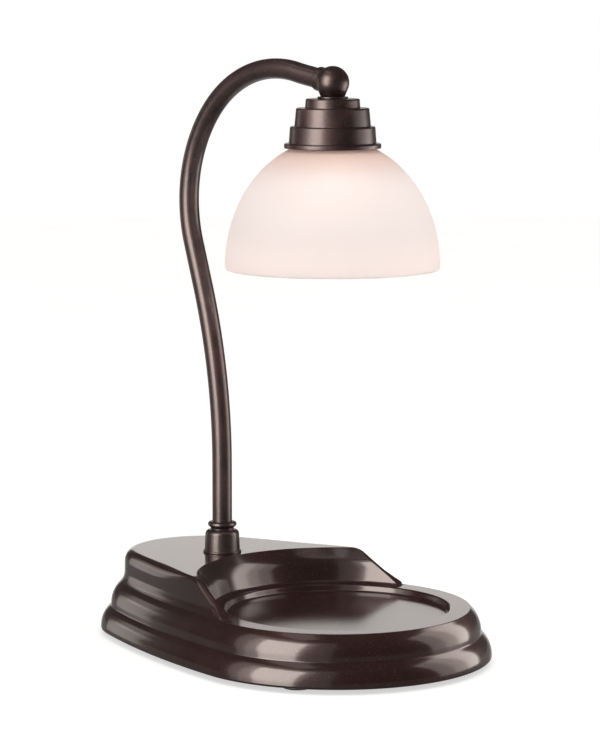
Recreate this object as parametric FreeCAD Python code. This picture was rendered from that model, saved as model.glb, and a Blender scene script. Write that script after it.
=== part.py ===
import FreeCAD, Part
import math
import os

# Candle warmer lamp. Millimetres, +Z up, the candle's end towards -Y and the post towards +Y.
# The origin is the middle of the base, on the surface that the feet stand on.

# --- values shared by many pieces ---
overcut = 1.0                # how far a cutting shape runs past the face that it cuts
fine_round = 0.3
small_round = 0.5
hole_clearance = 0.3
thread_clearance = 0.05
fit_clearance = 0.05
screw_slot_width = 0.7
screw_slot_depth = 0.7
point_tolerance = 1e-6
plane_tolerance = 1e-4

# --- base plan: an egg of four tangent arcs, and every tier is an inset of it ---
front_arc_radius = 83.0
rear_arc_radius = 55.5
side_arc_radius = 490.0
arc_centre_spacing = 104.5

# --- heights of the base ---
foot_stand_off = 2.3         # gap from the table to the shell's lower edge
lower_crease_z = 15.3
deck_z = 28.8
platform_z = 46.8

# --- stepped outline of the base, as insets from the plan ---
lip_round = 1.2
lower_bulge_inset = 0.5
lower_bulge_corner_z = 10.2
lower_bulge_radius = 14.0
upper_tier_inset = 5.7
crease_radius = 0.6
upper_bulge_inset = 6.3
upper_bulge_corner_z = 23.1
upper_bulge_radius = 15.5
deck_edge_inset = 11.6
platform_foot_margin = 0.05    # from the deck's edge to the foot of the platform's wall
platform_foot_height = 2.6
platform_foot_radius = 10.5    # of the hollow curve at the wall's foot
platform_wall_inset = 13.35
platform_draft = 0.35
shoulder_radius = 6.8

# --- candle recess and the scooped wall behind it ---
recess_shift = 1.0           # the recess lies this far in front of the front arc's centre
recess_rim_setback = 23.2    # of the recess's rim from the plan's front arc
recess_depth = 3.4
recess_wall_draft = 0.9
recess_floor_corner = 1.0
rim_round = 1.0
scoop_foot_gap = 6.1         # from the recess's rim to the foot of the scooped wall
scoop_waist_run = 3.1        # the wall's way outwards from its foot to its waist
scoop_waist_height = 11.2    # above the deck
scoop_top_run = 8.5          # and from its foot to the platform's top
scoop_foot_flat = 1.9
scoop_foot_rise = 0.5
scoop_flare_radius = 18.0
scoop_foot_round = 1.8
scoop_flare_run = 4.0        # of the tool above the platform, outwards and upwards
scoop_flare_rise = 5.0
horn_tip_setback = 14.5      # from the front arc's centre back to where the horns meet the deck
horn_slope_deg = 33.0
horn_edge_round = 0.8
horn_crest_radius = 16.0       # where the horns' slope turns into the platform's top

# --- hollow of the base ---
shell_wall = 3.0
cover_pocket_inset = 4.6
cover_gap = 0.3
cover_thickness = 2.0
cover_recess = 0.7           # the cover's face lies this far above the shell's lower edge
cover_ledge = 2.0
cavity_step_z = 10.0
cavity_upper_inset = 10.4
cavity_upper_z = 15.5

# --- feet, cover screws and their bosses ---
foot_radius = 8.5
foot_edge_round = 1.0
foot_inset = 14.7            # of the foot's centre from the plan
front_foot_angle_deg = 27.6  # below the line across the front arc's centre
rear_foot_angle_deg = 43.0
foot_bore_radius = 4.2
foot_web = 1.0
foot_taper = 0.5
cover_screw_radius = 1.9
cover_screw_head_radius = 3.6
cover_screw_head_height = 1.5
cover_screw_tip_length = 1.5
cover_screw_tip_radius = 0.8
cover_screw_cross_length = 3.6
cover_screw_cross_width = 0.8
cover_screw_cross_depth = 0.9
cover_screw_grip = 8.0       # length in the boss
boss_radius = 4.6
boss_hole_spare = 0.5        # of the boss's hole past the screw's tip

# --- ballast ---
ballast_thickness = 4.0
ballast_gap = 0.7
ballast_notch_width = 15.0
ballast_notch_depth = 13.0

# --- cord inlet ---
bushing_cover_gap = 0.5      # between the cover and the bushing's sleeve
bushing_bore_radius = 3.0
bushing_wall = 0.9
bushing_flange_radius = 4.9
bushing_flange_thickness = 1.2
bushing_length = 10.0
bushing_seat_depth = 1.6
bushing_boss_margin = 1.2      # of the shell's boss round the bushing's flange

# --- terminal block ---
block_length = 22.0
block_width = 12.0
block_height = 9.0
block_front_offset = 16.0    # from the post's axis to the block's front face
block_edge_round = 0.8
terminal_spacing = 8.0
terminal_screw_radius = 2.0
terminal_screw_depth = 3.0
terminal_screw_rows = 3.2
terminal_screw_sink = 0.8    # of the screws below the block's top
block_screw_radius = 1.4
block_screw_head_radius = 2.6
block_screw_head_height = 1.3
block_screw_tip_gap = 0.6    # from the cover to the screw's tip

# --- post and arm ---
post_offset = 87.1           # from the front arc's centre back to the post's axis
tube_radius = 5.4
tube_wall = 1.1
tube_tail = 15.0             # of the tube below the platform's top
tube_upright = 48.4          # straight run above the platform
sway_radius = 329.1
sway_turn_deg = 17.18
sway_run = 24.8
shoulder_turn_radius = 77.15
shoulder_turn_deg = 55.42
crown_turn_radius = 66.7
crown_turn_deg = 64.73
reach_turn_radius = 91.6
reach_turn_deg = 2.89
reach_run = 21.6

ferrule_radius = 9.6
ferrule_flange_height = 1.2
ferrule_height = 12.6
ferrule_shoulder = 2.6
ferrule_draft = 0.4
ferrule_step = 0.8           # of the flange beyond the cup's wall at its foot
neck_bead_radius = 8.0
neck_bead_height = 3.6
neck_skirt_radius = 6.3
neck_skirt_height = 0.9
neck_bead_low_share = 0.45   # heights of the bead's two corners as shares of its height
neck_bead_high_share = 0.85
neck_bead_round = 0.8
neck_bead_draft = 0.4
neck_top_radius = 6.3
post_pad_radius = 13.0
post_pad_height = 4.0
arm_washer_radius = 11.0
arm_washer_thickness = 1.2
arm_nut_flats = 17.0
arm_nut_height = 5.0

# --- ball casting ---
ball_radius = 8.65
ball_foot_radius = 6.5
ball_foot_drop = 7.1
ball_cone_deg = 22.0
ball_socket_radius = 6.4
ball_socket_reach = 10.2
ball_socket_round = 0.6
tube_seat = 4.0              # from the ball's centre to the tube's end
ball_washer_radius = 8.0
ball_washer_thickness = 1.2
ball_washer_crown = 0.2

# --- stepped shade holder: outer radius at the top, at the foot, and height of each tier ---
holder_tiers = ((14.1, 14.4, 4.8), (19.1, 20.0, 9.6), (22.3, 22.9, 8.8))
holder_flange_radius = 25.4
holder_flange_thickness = 2.6
holder_wall = 1.2
holder_edge_round = 0.9
holder_flange_round = 0.8
holder_inner_round = 0.4

# --- nipple, strap and nut ---
nipple_radius = 4.0
nipple_bore_radius = 2.9
nipple_ball_depth = 3.6
nipple_hole_spare = 0.3
nipple_tail = 1.0            # below the nut
nut_flats = 13.0
nut_chamfer = 0.6
nut_height = 3.0
strap_thickness = 1.2
strap_width = 11.0
strap_half_span = 10.6
strap_drop = 12.0
strap_foot_length = 6.2
strap_screw_radius = 1.4
strap_screw_head_radius = 2.5
strap_screw_head_height = 1.4
strap_screw_length = 6.0
strap_outer_bend = 2.0
strap_inner_bend = 0.8
strap_foot_outer_bend = 1.5

# --- socket and its ring ---
socket_neck_radius = 18.0
socket_thread_radius = 19.6
socket_neck_length = 8.4
socket_face_drop = 10.0      # from the holder's lower face down to the socket's face
socket_shoulder_round = 0.8
socket_edge_round = 0.8
ring_outer_radius = 23.4
ring_height = 5.2
ring_grip_count = 24
ring_grip_radius = 0.9
ring_grip_offset = 0.3       # of the grips' centres beyond the ring
ring_edge_round = 0.8
ring_thread_clearance = 0.08

# --- glass shade: a turned half ellipse cut off flat at its neck ---
glass_half_width = 56.4
glass_height_radius = 67.0
glass_height = 61.85         # from the holder down to the glass's lower edge
glass_wall = 3.0
glass_neck_thickness = 4.6   # of the flat that the ring clamps
glass_hole_clearance = 0.6

# --- twist-lock bulb ---
bulb_clearance = 0.3
bulb_face_radius = 25.0
bulb_length = 46.5           # from the socket's face to the lens's face
bulb_base_top_radius = 12.5
bulb_base_radius = 14.6
bulb_base_height = 17.0
bulb_base_wall = 3.0
bulb_base_socket = 4.0       # depth of the base's hollow that takes the reflector's neck
bulb_base_round = 1.2
bulb_reflector_wall = 1.3
reflector_neck_gap = 0.5     # from the neck's end to the roof of the base's hollow
reflector_neck_drop = 1.0    # of the neck below the base
reflector_bow_inset = 5.2    # of the bowl's outline from its rim, half-way up
reflector_bow_drop = 0.5
bulb_rim_height = 3.0
lens_thickness = 2.2
lens_sink = 0.4              # of the lens's face above the reflector's edge
burner_radius = 5.2
burner_length = 16.0
burner_tip_round = 3.0
burner_shoulder = 1.5
burner_shoulder_height = 3.0
burner_shoulder_round = 1.0
pin_circle_radius = 5.0
pin_neck_radius = 1.5
pin_head_radius = 2.4
pin_length = 7.0
pin_head_length = 4.6
pin_clearance = 0.35
pin_tip_round = 0.6
twist_deg = 40.0
pin_ledge = 1.6
contact_thickness = 0.6
contact_half_width = 1.2

# --- inner leads ---
lead_radius = 1.05
lead_spacing = 2.6
lead_bend_radius = 12.0
lead_ball_bend_radius = 7.0
lead_entry = 4.0
lead_entry_gap = 1.5         # from the lead's end to the bottom of its hole in the block

# --- places worked out from the sizes above ---
front_centre_y = -(arc_centre_spacing + rear_arc_radius - front_arc_radius) / 2
rear_centre_y = front_centre_y + arc_centre_spacing
recess_y = front_centre_y - recess_shift
recess_rim_radius = front_arc_radius - recess_rim_setback
scoop_foot_radius = recess_rim_radius + scoop_foot_gap
scoop_waist_radius = scoop_foot_radius + scoop_waist_run
scoop_top_radius = scoop_foot_radius + scoop_top_run
post_y = front_centre_y + post_offset
shell_bottom_z = foot_stand_off
cover_bottom_z = shell_bottom_z + cover_recess
cover_top_z = cover_bottom_z + cover_thickness
bushing_z = cover_top_z + bushing_cover_gap + bushing_bore_radius + bushing_wall
ballast_top_z = cover_top_z + ballast_thickness
recess_floor_z = deck_z - recess_depth
recess_ceiling_z = recess_floor_z - shell_wall
platform_ceiling_z = platform_z - shell_wall
cavity_lower_inset = cover_pocket_inset + cover_ledge
section_depth = rear_arc_radius / 2    # how far a swept tier reaches in from the plan
core_overlap = 4.0


def vec(x, y, z):
    return FreeCAD.Vector(x, y, z)


def polar(radius, degrees):
    return (radius * math.cos(math.radians(degrees)), radius * math.sin(math.radians(degrees)))


# --- drawing helpers ---
def corner_wire(corners, place):
    """Closed wire through (u, v) or (u, v, fillet radius) corners; place turns (u, v) into a point."""
    points = [vec(corner[0], corner[1], 0) for corner in corners]
    radii = [corner[2] if len(corner) > 2 else 0 for corner in corners]
    count = len(points)
    bends = []
    for i in range(count):
        here = points[i]
        if radii[i] == 0:
            bends.append((here, None, here))
            continue
        back = (points[i - 1] - here).normalize()
        ahead = (points[(i + 1) % count] - here).normalize()
        half = back.getAngle(ahead) / 2
        reach = radii[i] / math.tan(half)
        centre = here + (back + ahead).normalize() * (radii[i] / math.sin(half))
        middle = centre + (here - centre).normalize() * radii[i]
        bends.append((here + back * reach, middle, here + ahead * reach))
    edges = []
    for i in range(count):
        start, middle, end = bends[i]
        following = bends[(i + 1) % count][0]
        if middle is not None:
            ends = [place(p.x, p.y) for p in (start, middle, end)]
            edges.append(Part.Arc(*ends).toShape())
        if end.distanceToPoint(following) > point_tolerance:
            ends = [place(p.x, p.y) for p in (end, following)]
            edges.append(Part.LineSegment(*ends).toShape())
    return Part.Wire(edges)


def turned(corners, y, x=0.0):
    """Solid of revolution about the vertical axis through (x, y), from (radius, z) corners."""
    wire = corner_wire(corners, lambda r, z: vec(x + r, y, z))
    return Part.Face(wire).revolve(vec(x, y, 0), vec(0, 0, 1), 360)


def spun(edges):
    """Solid of revolution about the shade's axis, from edges in the plane y = that axis."""
    wire = Part.Wire(Part.__sortEdges__(edges))
    return Part.Face(wire).revolve(vec(0, shade_y, 0), vec(0, 0, 1), 360)


def disc(radius, z0, z1, x, y):
    return Part.makeCylinder(radius, z1 - z0, vec(x, y, z0))


def drilled(solid, radius, z0, z1, places):
    for x, y in places:
        solid = solid.cut(disc(radius, z0, z1, x, y))
    return solid


def hexagon(flats, z0, z1, x, y, bore):
    corners = [polar(flats / math.sqrt(3), 60 * i + 30) for i in range(7)]
    wire = Part.makePolygon([vec(x + u, y + v, z0) for u, v in corners])
    body = Part.Face(wire).extrude(vec(0, 0, z1 - z0))
    crown = flats / math.sqrt(3)
    low, high = z0 + nut_chamfer, z1 - nut_chamfer
    limit = turned([(0, z0), (crown - nut_chamfer, z0), (crown, low),
                    (crown, high), (crown - nut_chamfer, z1), (0, z1)], y, x)
    return drilled(body.common(limit), bore, z0 - overcut, z1 + overcut, [(x, y)])


# --- the egg-shaped plan ---
def egg_arcs():
    """The plan's four arcs as (centre x, centre y, radius, start angle, end angle), anticlockwise."""
    front_pull = side_arc_radius - front_arc_radius
    rear_pull = side_arc_radius - rear_arc_radius
    along = (arc_centre_spacing ** 2 + front_pull ** 2 - rear_pull ** 2) / (2 * arc_centre_spacing)
    across = math.sqrt(front_pull ** 2 - along ** 2)
    side_y = front_centre_y + along
    front_angle = math.degrees(math.atan2(front_centre_y - side_y, across))
    rear_angle = math.degrees(math.atan2(rear_centre_y - side_y, across))
    return ((0, front_centre_y, front_arc_radius, 180 - front_angle, 360 + front_angle),
            (-across, side_y, side_arc_radius, front_angle, rear_angle),
            (0, rear_centre_y, rear_arc_radius, rear_angle, 180 - rear_angle),
            (across, side_y, side_arc_radius, 180 - rear_angle, 180 - front_angle))


def egg_wire(inset, z):
    edges = []
    for x, y, radius, start, end in egg_arcs():
        points = []
        for angle in (start, (start + end) / 2, end):
            u, v = polar(radius - inset, angle)
            points.append(vec(x + u, y + v, z))
        edges.append(Part.Arc(*points).toShape())
    return Part.Wire(edges)


def egg_prism(inset, z0, z1):
    return Part.Face(egg_wire(inset, z0)).extrude(vec(0, 0, z1 - z0))


def egg_solid(corners):
    """Solid whose wall follows (inset, z, fillet) corners all round the plan, bottom corner first."""
    bottom, top = corners[0][1], corners[-1][1]
    section = [(section_depth, bottom)] + list(corners) + [(section_depth, top)]
    solid = egg_prism(section_depth - core_overlap, bottom, top)
    for x, y, radius, start, end in egg_arcs():
        c, s = polar(1.0, start)
        wire = corner_wire(section, lambda u, z: vec(x + (radius - u) * c, y + (radius - u) * s, z))
        sector = Part.Face(wire).revolve(vec(x, y, 0), vec(0, 0, 1), end - start)
        solid = solid.fuse(sector)
    return solid.removeSplitter()


def foot_places():
    places = []
    for side in (-1, 1):
        u, v = polar(front_arc_radius - foot_inset, -front_foot_angle_deg)
        places.append((side * u, front_centre_y + v))
        u, v = polar(rear_arc_radius - foot_inset, rear_foot_angle_deg)
        places.append((side * u, rear_centre_y + v))
    return places


# --- base shell ---
def scoop_tool(grow):
    """Solid of revolution that clears the space above the deck; grow makes it larger all round."""
    return turned([(0, deck_z - grow),
                   (scoop_foot_radius - scoop_foot_flat + grow, deck_z - grow),
                   (scoop_foot_radius + grow, deck_z + scoop_foot_rise, scoop_foot_round),
                   (scoop_waist_radius + grow, deck_z + scoop_waist_height, scoop_flare_radius),
                   (scoop_top_radius + grow, platform_z),
                   (scoop_top_radius + grow + scoop_flare_run, platform_z + scoop_flare_rise),
                   (0, platform_z + scoop_flare_rise)], recess_y)


def recess_tool():
    return turned([(0, recess_floor_z),
                   (recess_rim_radius - recess_wall_draft, recess_floor_z, recess_floor_corner),
                   (recess_rim_radius, deck_z, rim_round),
                   (recess_rim_radius + 2 * rim_round, deck_z),
                   (recess_rim_radius + 2 * rim_round, deck_z + overcut),
                   (0, deck_z + overcut)], recess_y)


def horn_tip_y():
    return front_centre_y + horn_tip_setback


def horn_wedge():
    """Everything in front of the slope that ends the platform's two horns, with its rounded crest."""
    tip_y = horn_tip_y()
    slope = math.radians(horn_slope_deg)
    crest_y = tip_y + (platform_z - deck_z) / math.tan(slope)
    flat_y = crest_y + horn_crest_radius * math.tan(slope / 2)
    far = 2 * front_arc_radius
    high = platform_z + overcut
    corners = [(tip_y, deck_z), (crest_y, platform_z, horn_crest_radius), (flat_y, platform_z),
               (flat_y, high), (-far, high), (-far, deck_z)]
    wire = corner_wire(corners, lambda y, z: vec(-far, y, z))
    return Part.Face(wire).extrude(vec(2 * far, 0, 0))


def on_horn_plane(edge):
    """Does this edge lie in the sloping plane of the horns, clear of the deck?"""
    tip_y = horn_tip_y()
    slope = math.tan(math.radians(horn_slope_deg))
    middle = edge.valueAt((edge.FirstParameter + edge.LastParameter) / 2)
    points = [vertex.Point for vertex in edge.Vertexes] + [middle]
    if any(abs(p.z - deck_z - slope * (p.y - tip_y)) > plane_tolerance for p in points):
        return False
    return max(p.z for p in points) > deck_z + horn_edge_round


def platform():
    """The raised rear tier with its scooped front and the two horns that run down beside the recess."""
    body = egg_solid([(deck_edge_inset + platform_foot_margin, deck_z),
                      (platform_wall_inset, deck_z + platform_foot_height, platform_foot_radius),
                      (platform_wall_inset + platform_draft, platform_z, shoulder_radius)])
    body = body.cut(scoop_tool(0)).cut(horn_wedge())
    edges = [edge for edge in body.Edges if on_horn_plane(edge) and edge.Length > 4 * horn_edge_round]
    return body.makeFillet(horn_edge_round, edges)


def base_hollow():
    """Inside of the base: cover pocket, lower hollow under the recess and the tall hollow at the back."""
    pocket = egg_prism(cover_pocket_inset, shell_bottom_z - overcut, cover_top_z)
    lower = egg_solid([(cavity_lower_inset, cover_top_z), (cavity_lower_inset, cavity_step_z),
                       (cavity_upper_inset, cavity_upper_z), (cavity_upper_inset, recess_ceiling_z)])
    tall_inset = platform_wall_inset + platform_draft + shell_wall
    tall = egg_solid([(tall_inset, recess_ceiling_z),
                      (tall_inset, platform_ceiling_z, shoulder_radius - shell_wall)])
    tall = tall.cut(scoop_tool(shell_wall))
    tall = tall.cut(disc(scoop_foot_radius + shell_wall, 0, deck_z, 0, recess_y))
    behind = horn_tip_y() + (platform_z - deck_z) / math.tan(math.radians(horn_slope_deg)) + shell_wall
    far = 2 * front_arc_radius
    tall = tall.cut(Part.makeBox(2 * far, far + behind, far, vec(-far, -far, 0)))
    return pocket.fuse([lower, tall])


def base_shell():
    tiers = egg_solid([(0, shell_bottom_z, lip_round),
                       (lower_bulge_inset, lower_bulge_corner_z, lower_bulge_radius),
                       (upper_tier_inset, lower_crease_z, crease_radius),
                       (upper_bulge_inset, upper_bulge_corner_z, upper_bulge_radius),
                       (deck_edge_inset, deck_z)])
    shell = tiers.cut(recess_tool()).fuse([platform(), bushing_boss()]).removeSplitter()
    shell = shell.cut(base_hollow())
    for x, y in foot_places():
        boss = disc(boss_radius, ballast_top_z, recess_ceiling_z + overcut, x, y)
        shell = shell.fuse(boss)
    pad = disc(post_pad_radius, pad_bottom_z(), platform_ceiling_z + overcut, 0, post_y)
    shell = shell.fuse(pad)
    shell = drilled(shell, cover_screw_radius + thread_clearance, ballast_top_z - overcut,
                    ballast_top_z + cover_screw_grip + boss_hole_spare, foot_places())
    shell = drilled(shell, tube_radius + fit_clearance, 0, platform_z + overcut, [(0, post_y)])
    return shell.cut(bushing_hole()).removeSplitter()


def rear_y():
    return rear_centre_y + rear_arc_radius


def bushing_boss():
    """Short boss on the rear wall whose flat face seats the bushing's flange."""
    radius = bushing_flange_radius + bushing_boss_margin
    start_y = rear_y() - cavity_lower_inset
    length = cavity_lower_inset - bushing_seat_depth
    return Part.makeCylinder(radius, length, vec(0, start_y, bushing_z), vec(0, 1, 0))


def bushing_hole():
    back = vec(0, 1, 0)
    sleeve = bushing_bore_radius + bushing_wall + fit_clearance
    flange = bushing_flange_radius + hole_clearance
    hole = Part.makeCylinder(sleeve, 2 * section_depth, vec(0, rear_y() - section_depth, bushing_z), back)
    seat = Part.makeCylinder(flange, section_depth, vec(0, rear_y() - bushing_seat_depth, bushing_z), back)
    return hole.fuse(seat)


# --- underside ---
def base_cover():
    plate = egg_prism(cover_pocket_inset + cover_gap, cover_bottom_z, cover_top_z)
    return drilled(plate, cover_screw_radius + hole_clearance, 0, deck_z, foot_places())


def rubber_foot(x, y):
    bore = foot_bore_radius
    hole = cover_screw_radius + hole_clearance
    web_z = cover_bottom_z - foot_web
    return turned([(bore, 0, fine_round), (foot_radius - foot_taper, 0, foot_edge_round),
                   (foot_radius, cover_bottom_z), (hole, cover_bottom_z),
                   (hole, web_z), (bore, web_z)], y, x)


def cover_screw(x, y):
    seat_z = cover_bottom_z - foot_web
    face_z = seat_z - cover_screw_head_height
    tip_z = ballast_top_z + cover_screw_grip
    shank = cover_screw_radius
    screw = turned([(0, face_z), (cover_screw_head_radius, face_z, small_round),
                    (cover_screw_head_radius, seat_z), (shank, seat_z),
                    (shank, tip_z - cover_screw_tip_length),
                    (cover_screw_tip_radius, tip_z), (0, tip_z)], y, x)
    for turn in (0, 90):
        corner = vec(-cover_screw_cross_length / 2, -cover_screw_cross_width / 2, -overcut)
        deep = cover_screw_cross_depth + overcut
        slot = Part.makeBox(cover_screw_cross_length, cover_screw_cross_width, deep, corner)
        slot.rotate(vec(0, 0, 0), vec(0, 0, 1), turn)
        slot.translate(vec(x, y, face_z))
        screw = screw.cut(slot)
    return screw


def ballast_plate():
    plate = egg_prism(cavity_lower_inset + ballast_gap, cover_top_z, ballast_top_z)
    plate = drilled(plate, cover_screw_radius + hole_clearance, 0, deck_z, foot_places())
    edge_y = rear_y() - cavity_lower_inset
    notch = Part.makeBox(ballast_notch_width, 2 * ballast_notch_depth, deck_z,
                         vec(-ballast_notch_width / 2, edge_y - ballast_notch_depth, 0))
    plate = plate.cut(notch)
    return drilled(plate, block_screw_radius + thread_clearance, 0, deck_z, [(0, block_screw_y())])


def cord_bushing():
    sleeve = bushing_bore_radius + bushing_wall
    seat_y = rear_y() - bushing_seat_depth
    inner_end = bushing_flange_thickness - bushing_length
    corners = [(bushing_bore_radius, inner_end, fine_round),
               (sleeve, inner_end, fine_round),
               (sleeve, 0),
               (bushing_flange_radius, 0),
               (bushing_flange_radius, bushing_flange_thickness, small_round),
               (bushing_bore_radius, bushing_flange_thickness)]
    wire = corner_wire(corners, lambda r, along: vec(r, seat_y + along, bushing_z))
    return Part.Face(wire).revolve(vec(0, 0, bushing_z), vec(0, 1, 0), 360)


# --- terminal block, on the ballast plate behind the post ---
def block_front_y():
    return post_y + block_front_offset


def block_screw_y():
    return block_front_y() + block_width / 2


def block_seat_z():
    return ballast_top_z + block_height - terminal_screw_depth


def lead_xs():
    return (-lead_spacing / 2, lead_spacing / 2)


def top_slot(length, top_z, x, y):
    """Box that cuts a screwdriver slot into a head whose face is at top_z."""
    return Part.makeBox(length, screw_slot_width, screw_slot_depth + overcut,
                        vec(x - length / 2, y - screw_slot_width / 2, top_z - screw_slot_depth))


def terminal_places():
    rows = (block_screw_y() - terminal_screw_rows, block_screw_y() + terminal_screw_rows)
    return [(x, y) for x in (-terminal_spacing, terminal_spacing) for y in rows]


def terminal_block():
    top_z = ballast_top_z + block_height
    body = Part.makeBox(block_length, block_width, block_height,
                        vec(-block_length / 2, block_front_y(), ballast_top_z))
    rims = [e for e in body.Edges if all(abs(v.Z - top_z) < plane_tolerance for v in e.Vertexes)]
    body = body.makeFillet(block_edge_round, rims)
    centre = [(0, block_screw_y())]
    body = drilled(body, terminal_screw_radius + hole_clearance, block_seat_z(), deck_z, terminal_places())
    body = drilled(body, block_screw_radius + hole_clearance, 0, deck_z, centre)
    body = drilled(body, block_screw_head_radius + hole_clearance, block_seat_z(), deck_z, centre)
    for x in lead_xs():
        start = vec(x, block_front_y() - overcut, lead_z())
        radius = lead_radius + hole_clearance
        body = body.cut(Part.makeCylinder(radius, lead_entry + overcut, start, vec(0, 1, 0)))
    return body


def terminal_screw(x, y):
    top_z = ballast_top_z + block_height - terminal_screw_sink
    body = disc(terminal_screw_radius, block_seat_z(), top_z, x, y)
    return body.cut(top_slot(2 * terminal_screw_radius, top_z, x, y))


def block_screw():
    seat_z = block_seat_z()
    tip_z = cover_top_z + block_screw_tip_gap
    face_z = seat_z + block_screw_head_height
    y = block_screw_y()
    screw = turned([(0, tip_z), (block_screw_radius, tip_z), (block_screw_radius, seat_z),
                    (block_screw_head_radius, seat_z), (block_screw_head_radius, face_z, small_round),
                    (0, face_z)], y)
    return screw.cut(top_slot(2 * block_screw_head_radius, face_z, 0, y))


# --- the arm's centreline, as runs and tangent arcs in the plane x = 0 ---
class Route:
    """Edges drawn one after another in the plane x = const, from a point and a heading in degrees."""

    def __init__(self, x, y, z, heading):
        self.x, self.y, self.z, self.heading = x, y, z, heading
        self.edges = []
        self.length = 0.0

    def point(self):
        return vec(self.x, self.y, self.z)

    def run(self, length):
        start = self.point()
        c, s = polar(length, self.heading)
        self.y += c
        self.z += s
        self.edges.append(Part.LineSegment(start, self.point()).toShape())
        self.length += length

    def turn(self, radius, degrees):
        """Arc of this radius; positive degrees turn from rearwards over the top to forwards."""
        start = self.point()
        side = 90 if degrees > 0 else -90
        c, s = polar(radius, self.heading + side)
        centre_y, centre_z = self.y + c, self.z + s
        points = []
        for share in (0.5, 1.0):
            u, v = polar(radius, self.heading + degrees * share - side)
            points.append(vec(self.x, centre_y + u, centre_z + v))
        self.edges.append(Part.Arc(start, points[0], points[1]).toShape())
        self.y, self.z = points[1].y, points[1].z
        self.heading += degrees
        self.length += radius * math.radians(abs(degrees))

    def tube(self, radius):
        path = Part.Wire(self.edges)
        first = self.edges[0]
        along = first.tangentAt(first.FirstParameter)
        circle = Part.Wire(Part.makeCircle(radius, first.valueAt(first.FirstParameter), along))
        return path.makePipe(Part.Face(circle))


def arm_bends(route):
    route.turn(sway_radius, -sway_turn_deg)
    route.run(sway_run)
    route.turn(shoulder_turn_radius, shoulder_turn_deg)
    route.turn(crown_turn_radius, crown_turn_deg)
    route.turn(reach_turn_radius, -reach_turn_deg)


def arm_end():
    """The ball's centre, and the arm's heading there."""
    route = Route(0, post_y, platform_z, 90)
    route.run(tube_upright)
    arm_bends(route)
    route.run(reach_run)
    return route.y, route.z, route.heading


shade_y, ball_z, arm_heading = arm_end()
ball_foot_z = ball_z - ball_foot_drop
holder_top_z = ball_foot_z - ball_washer_thickness
holder_bottom_z = holder_top_z - sum(tier[2] for tier in holder_tiers) - holder_flange_thickness
strap_top_z = holder_top_z - holder_wall
nut_bottom_z = strap_top_z - strap_thickness - nut_height
socket_top_z = strap_top_z - strap_drop
socket_face_z = holder_bottom_z - socket_face_drop
lead_top_z = socket_top_z - lead_entry
glass_rim_z = holder_bottom_z - glass_height


def lead_z():
    return ballast_top_z + block_height / 2


def arm_tube():
    solids = []
    for radius, spare in ((tube_radius, 0.0), (tube_radius - tube_wall, overcut)):
        route = Route(0, post_y, platform_z - tube_tail - spare, 90)
        route.run(tube_tail + tube_upright + spare)
        arm_bends(route)
        route.run(reach_run - tube_seat + spare)
        solids.append(route.tube(radius))
    return solids[0].cut(solids[1])


def lead_wire(x):
    start_y = block_front_y() + lead_entry - lead_entry_gap
    down = post_y + lead_bend_radius
    route = Route(x, start_y, lead_z(), 180)
    route.run(start_y - down)
    route.turn(lead_bend_radius, -90)
    route.run(platform_z + tube_upright - lead_z() - lead_bend_radius)
    arm_bends(route)
    turn = 270 - arm_heading
    reach = lead_ball_bend_radius * math.tan(math.radians(turn / 2))
    route.run(reach_run - reach)
    route.turn(lead_ball_bend_radius, turn)
    route.run(ball_z - reach - lead_top_z)
    return route.tube(lead_radius)


# --- foot of the arm ---
def post_ferrule():
    foot_z = platform_z
    step_z = foot_z + ferrule_flange_height
    top_z = foot_z + ferrule_height
    hole = tube_radius + fit_clearance
    flange = ferrule_radius + ferrule_step
    return turned([(hole, foot_z), (flange, foot_z, fine_round), (flange, step_z, fine_round),
                   (ferrule_radius, step_z, fine_round),
                   (ferrule_radius - ferrule_draft, top_z, ferrule_shoulder), (hole, top_z)], post_y)


def neck_ring():
    foot_z = platform_z + ferrule_height
    bead_z = foot_z + neck_skirt_height
    top_z = bead_z + neck_bead_height
    hole = tube_radius + fit_clearance
    low_z = bead_z + neck_bead_low_share * neck_bead_height
    high_z = bead_z + neck_bead_high_share * neck_bead_height
    return turned([(hole, foot_z), (neck_skirt_radius, foot_z), (neck_skirt_radius, bead_z, fine_round),
                   (neck_bead_radius, low_z, neck_bead_round),
                   (neck_bead_radius - neck_bead_draft, high_z, neck_bead_round),
                   (neck_top_radius, top_z, fine_round), (hole, top_z)], post_y)


def pad_bottom_z():
    return platform_ceiling_z - post_pad_height


def arm_washer():
    top_z = pad_bottom_z()
    low_z = top_z - arm_washer_thickness
    washer = disc(arm_washer_radius, low_z, top_z, 0, post_y)
    return drilled(washer, tube_radius + fit_clearance, 0, platform_z, [(0, post_y)])


def arm_nut():
    top_z = pad_bottom_z() - arm_washer_thickness
    return hexagon(arm_nut_flats, top_z - arm_nut_height, top_z, 0, post_y, tube_radius + thread_clearance)


# --- ball casting ---
def along_arm(start, length, radius):
    """Cylinder on the arm's last run, from a distance before the ball's centre towards the ball."""
    c, s = polar(1.0, arm_heading)
    return Part.makeCylinder(radius, length, vec(0, shade_y - start * c, ball_z - start * s), vec(0, c, s))


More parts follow.
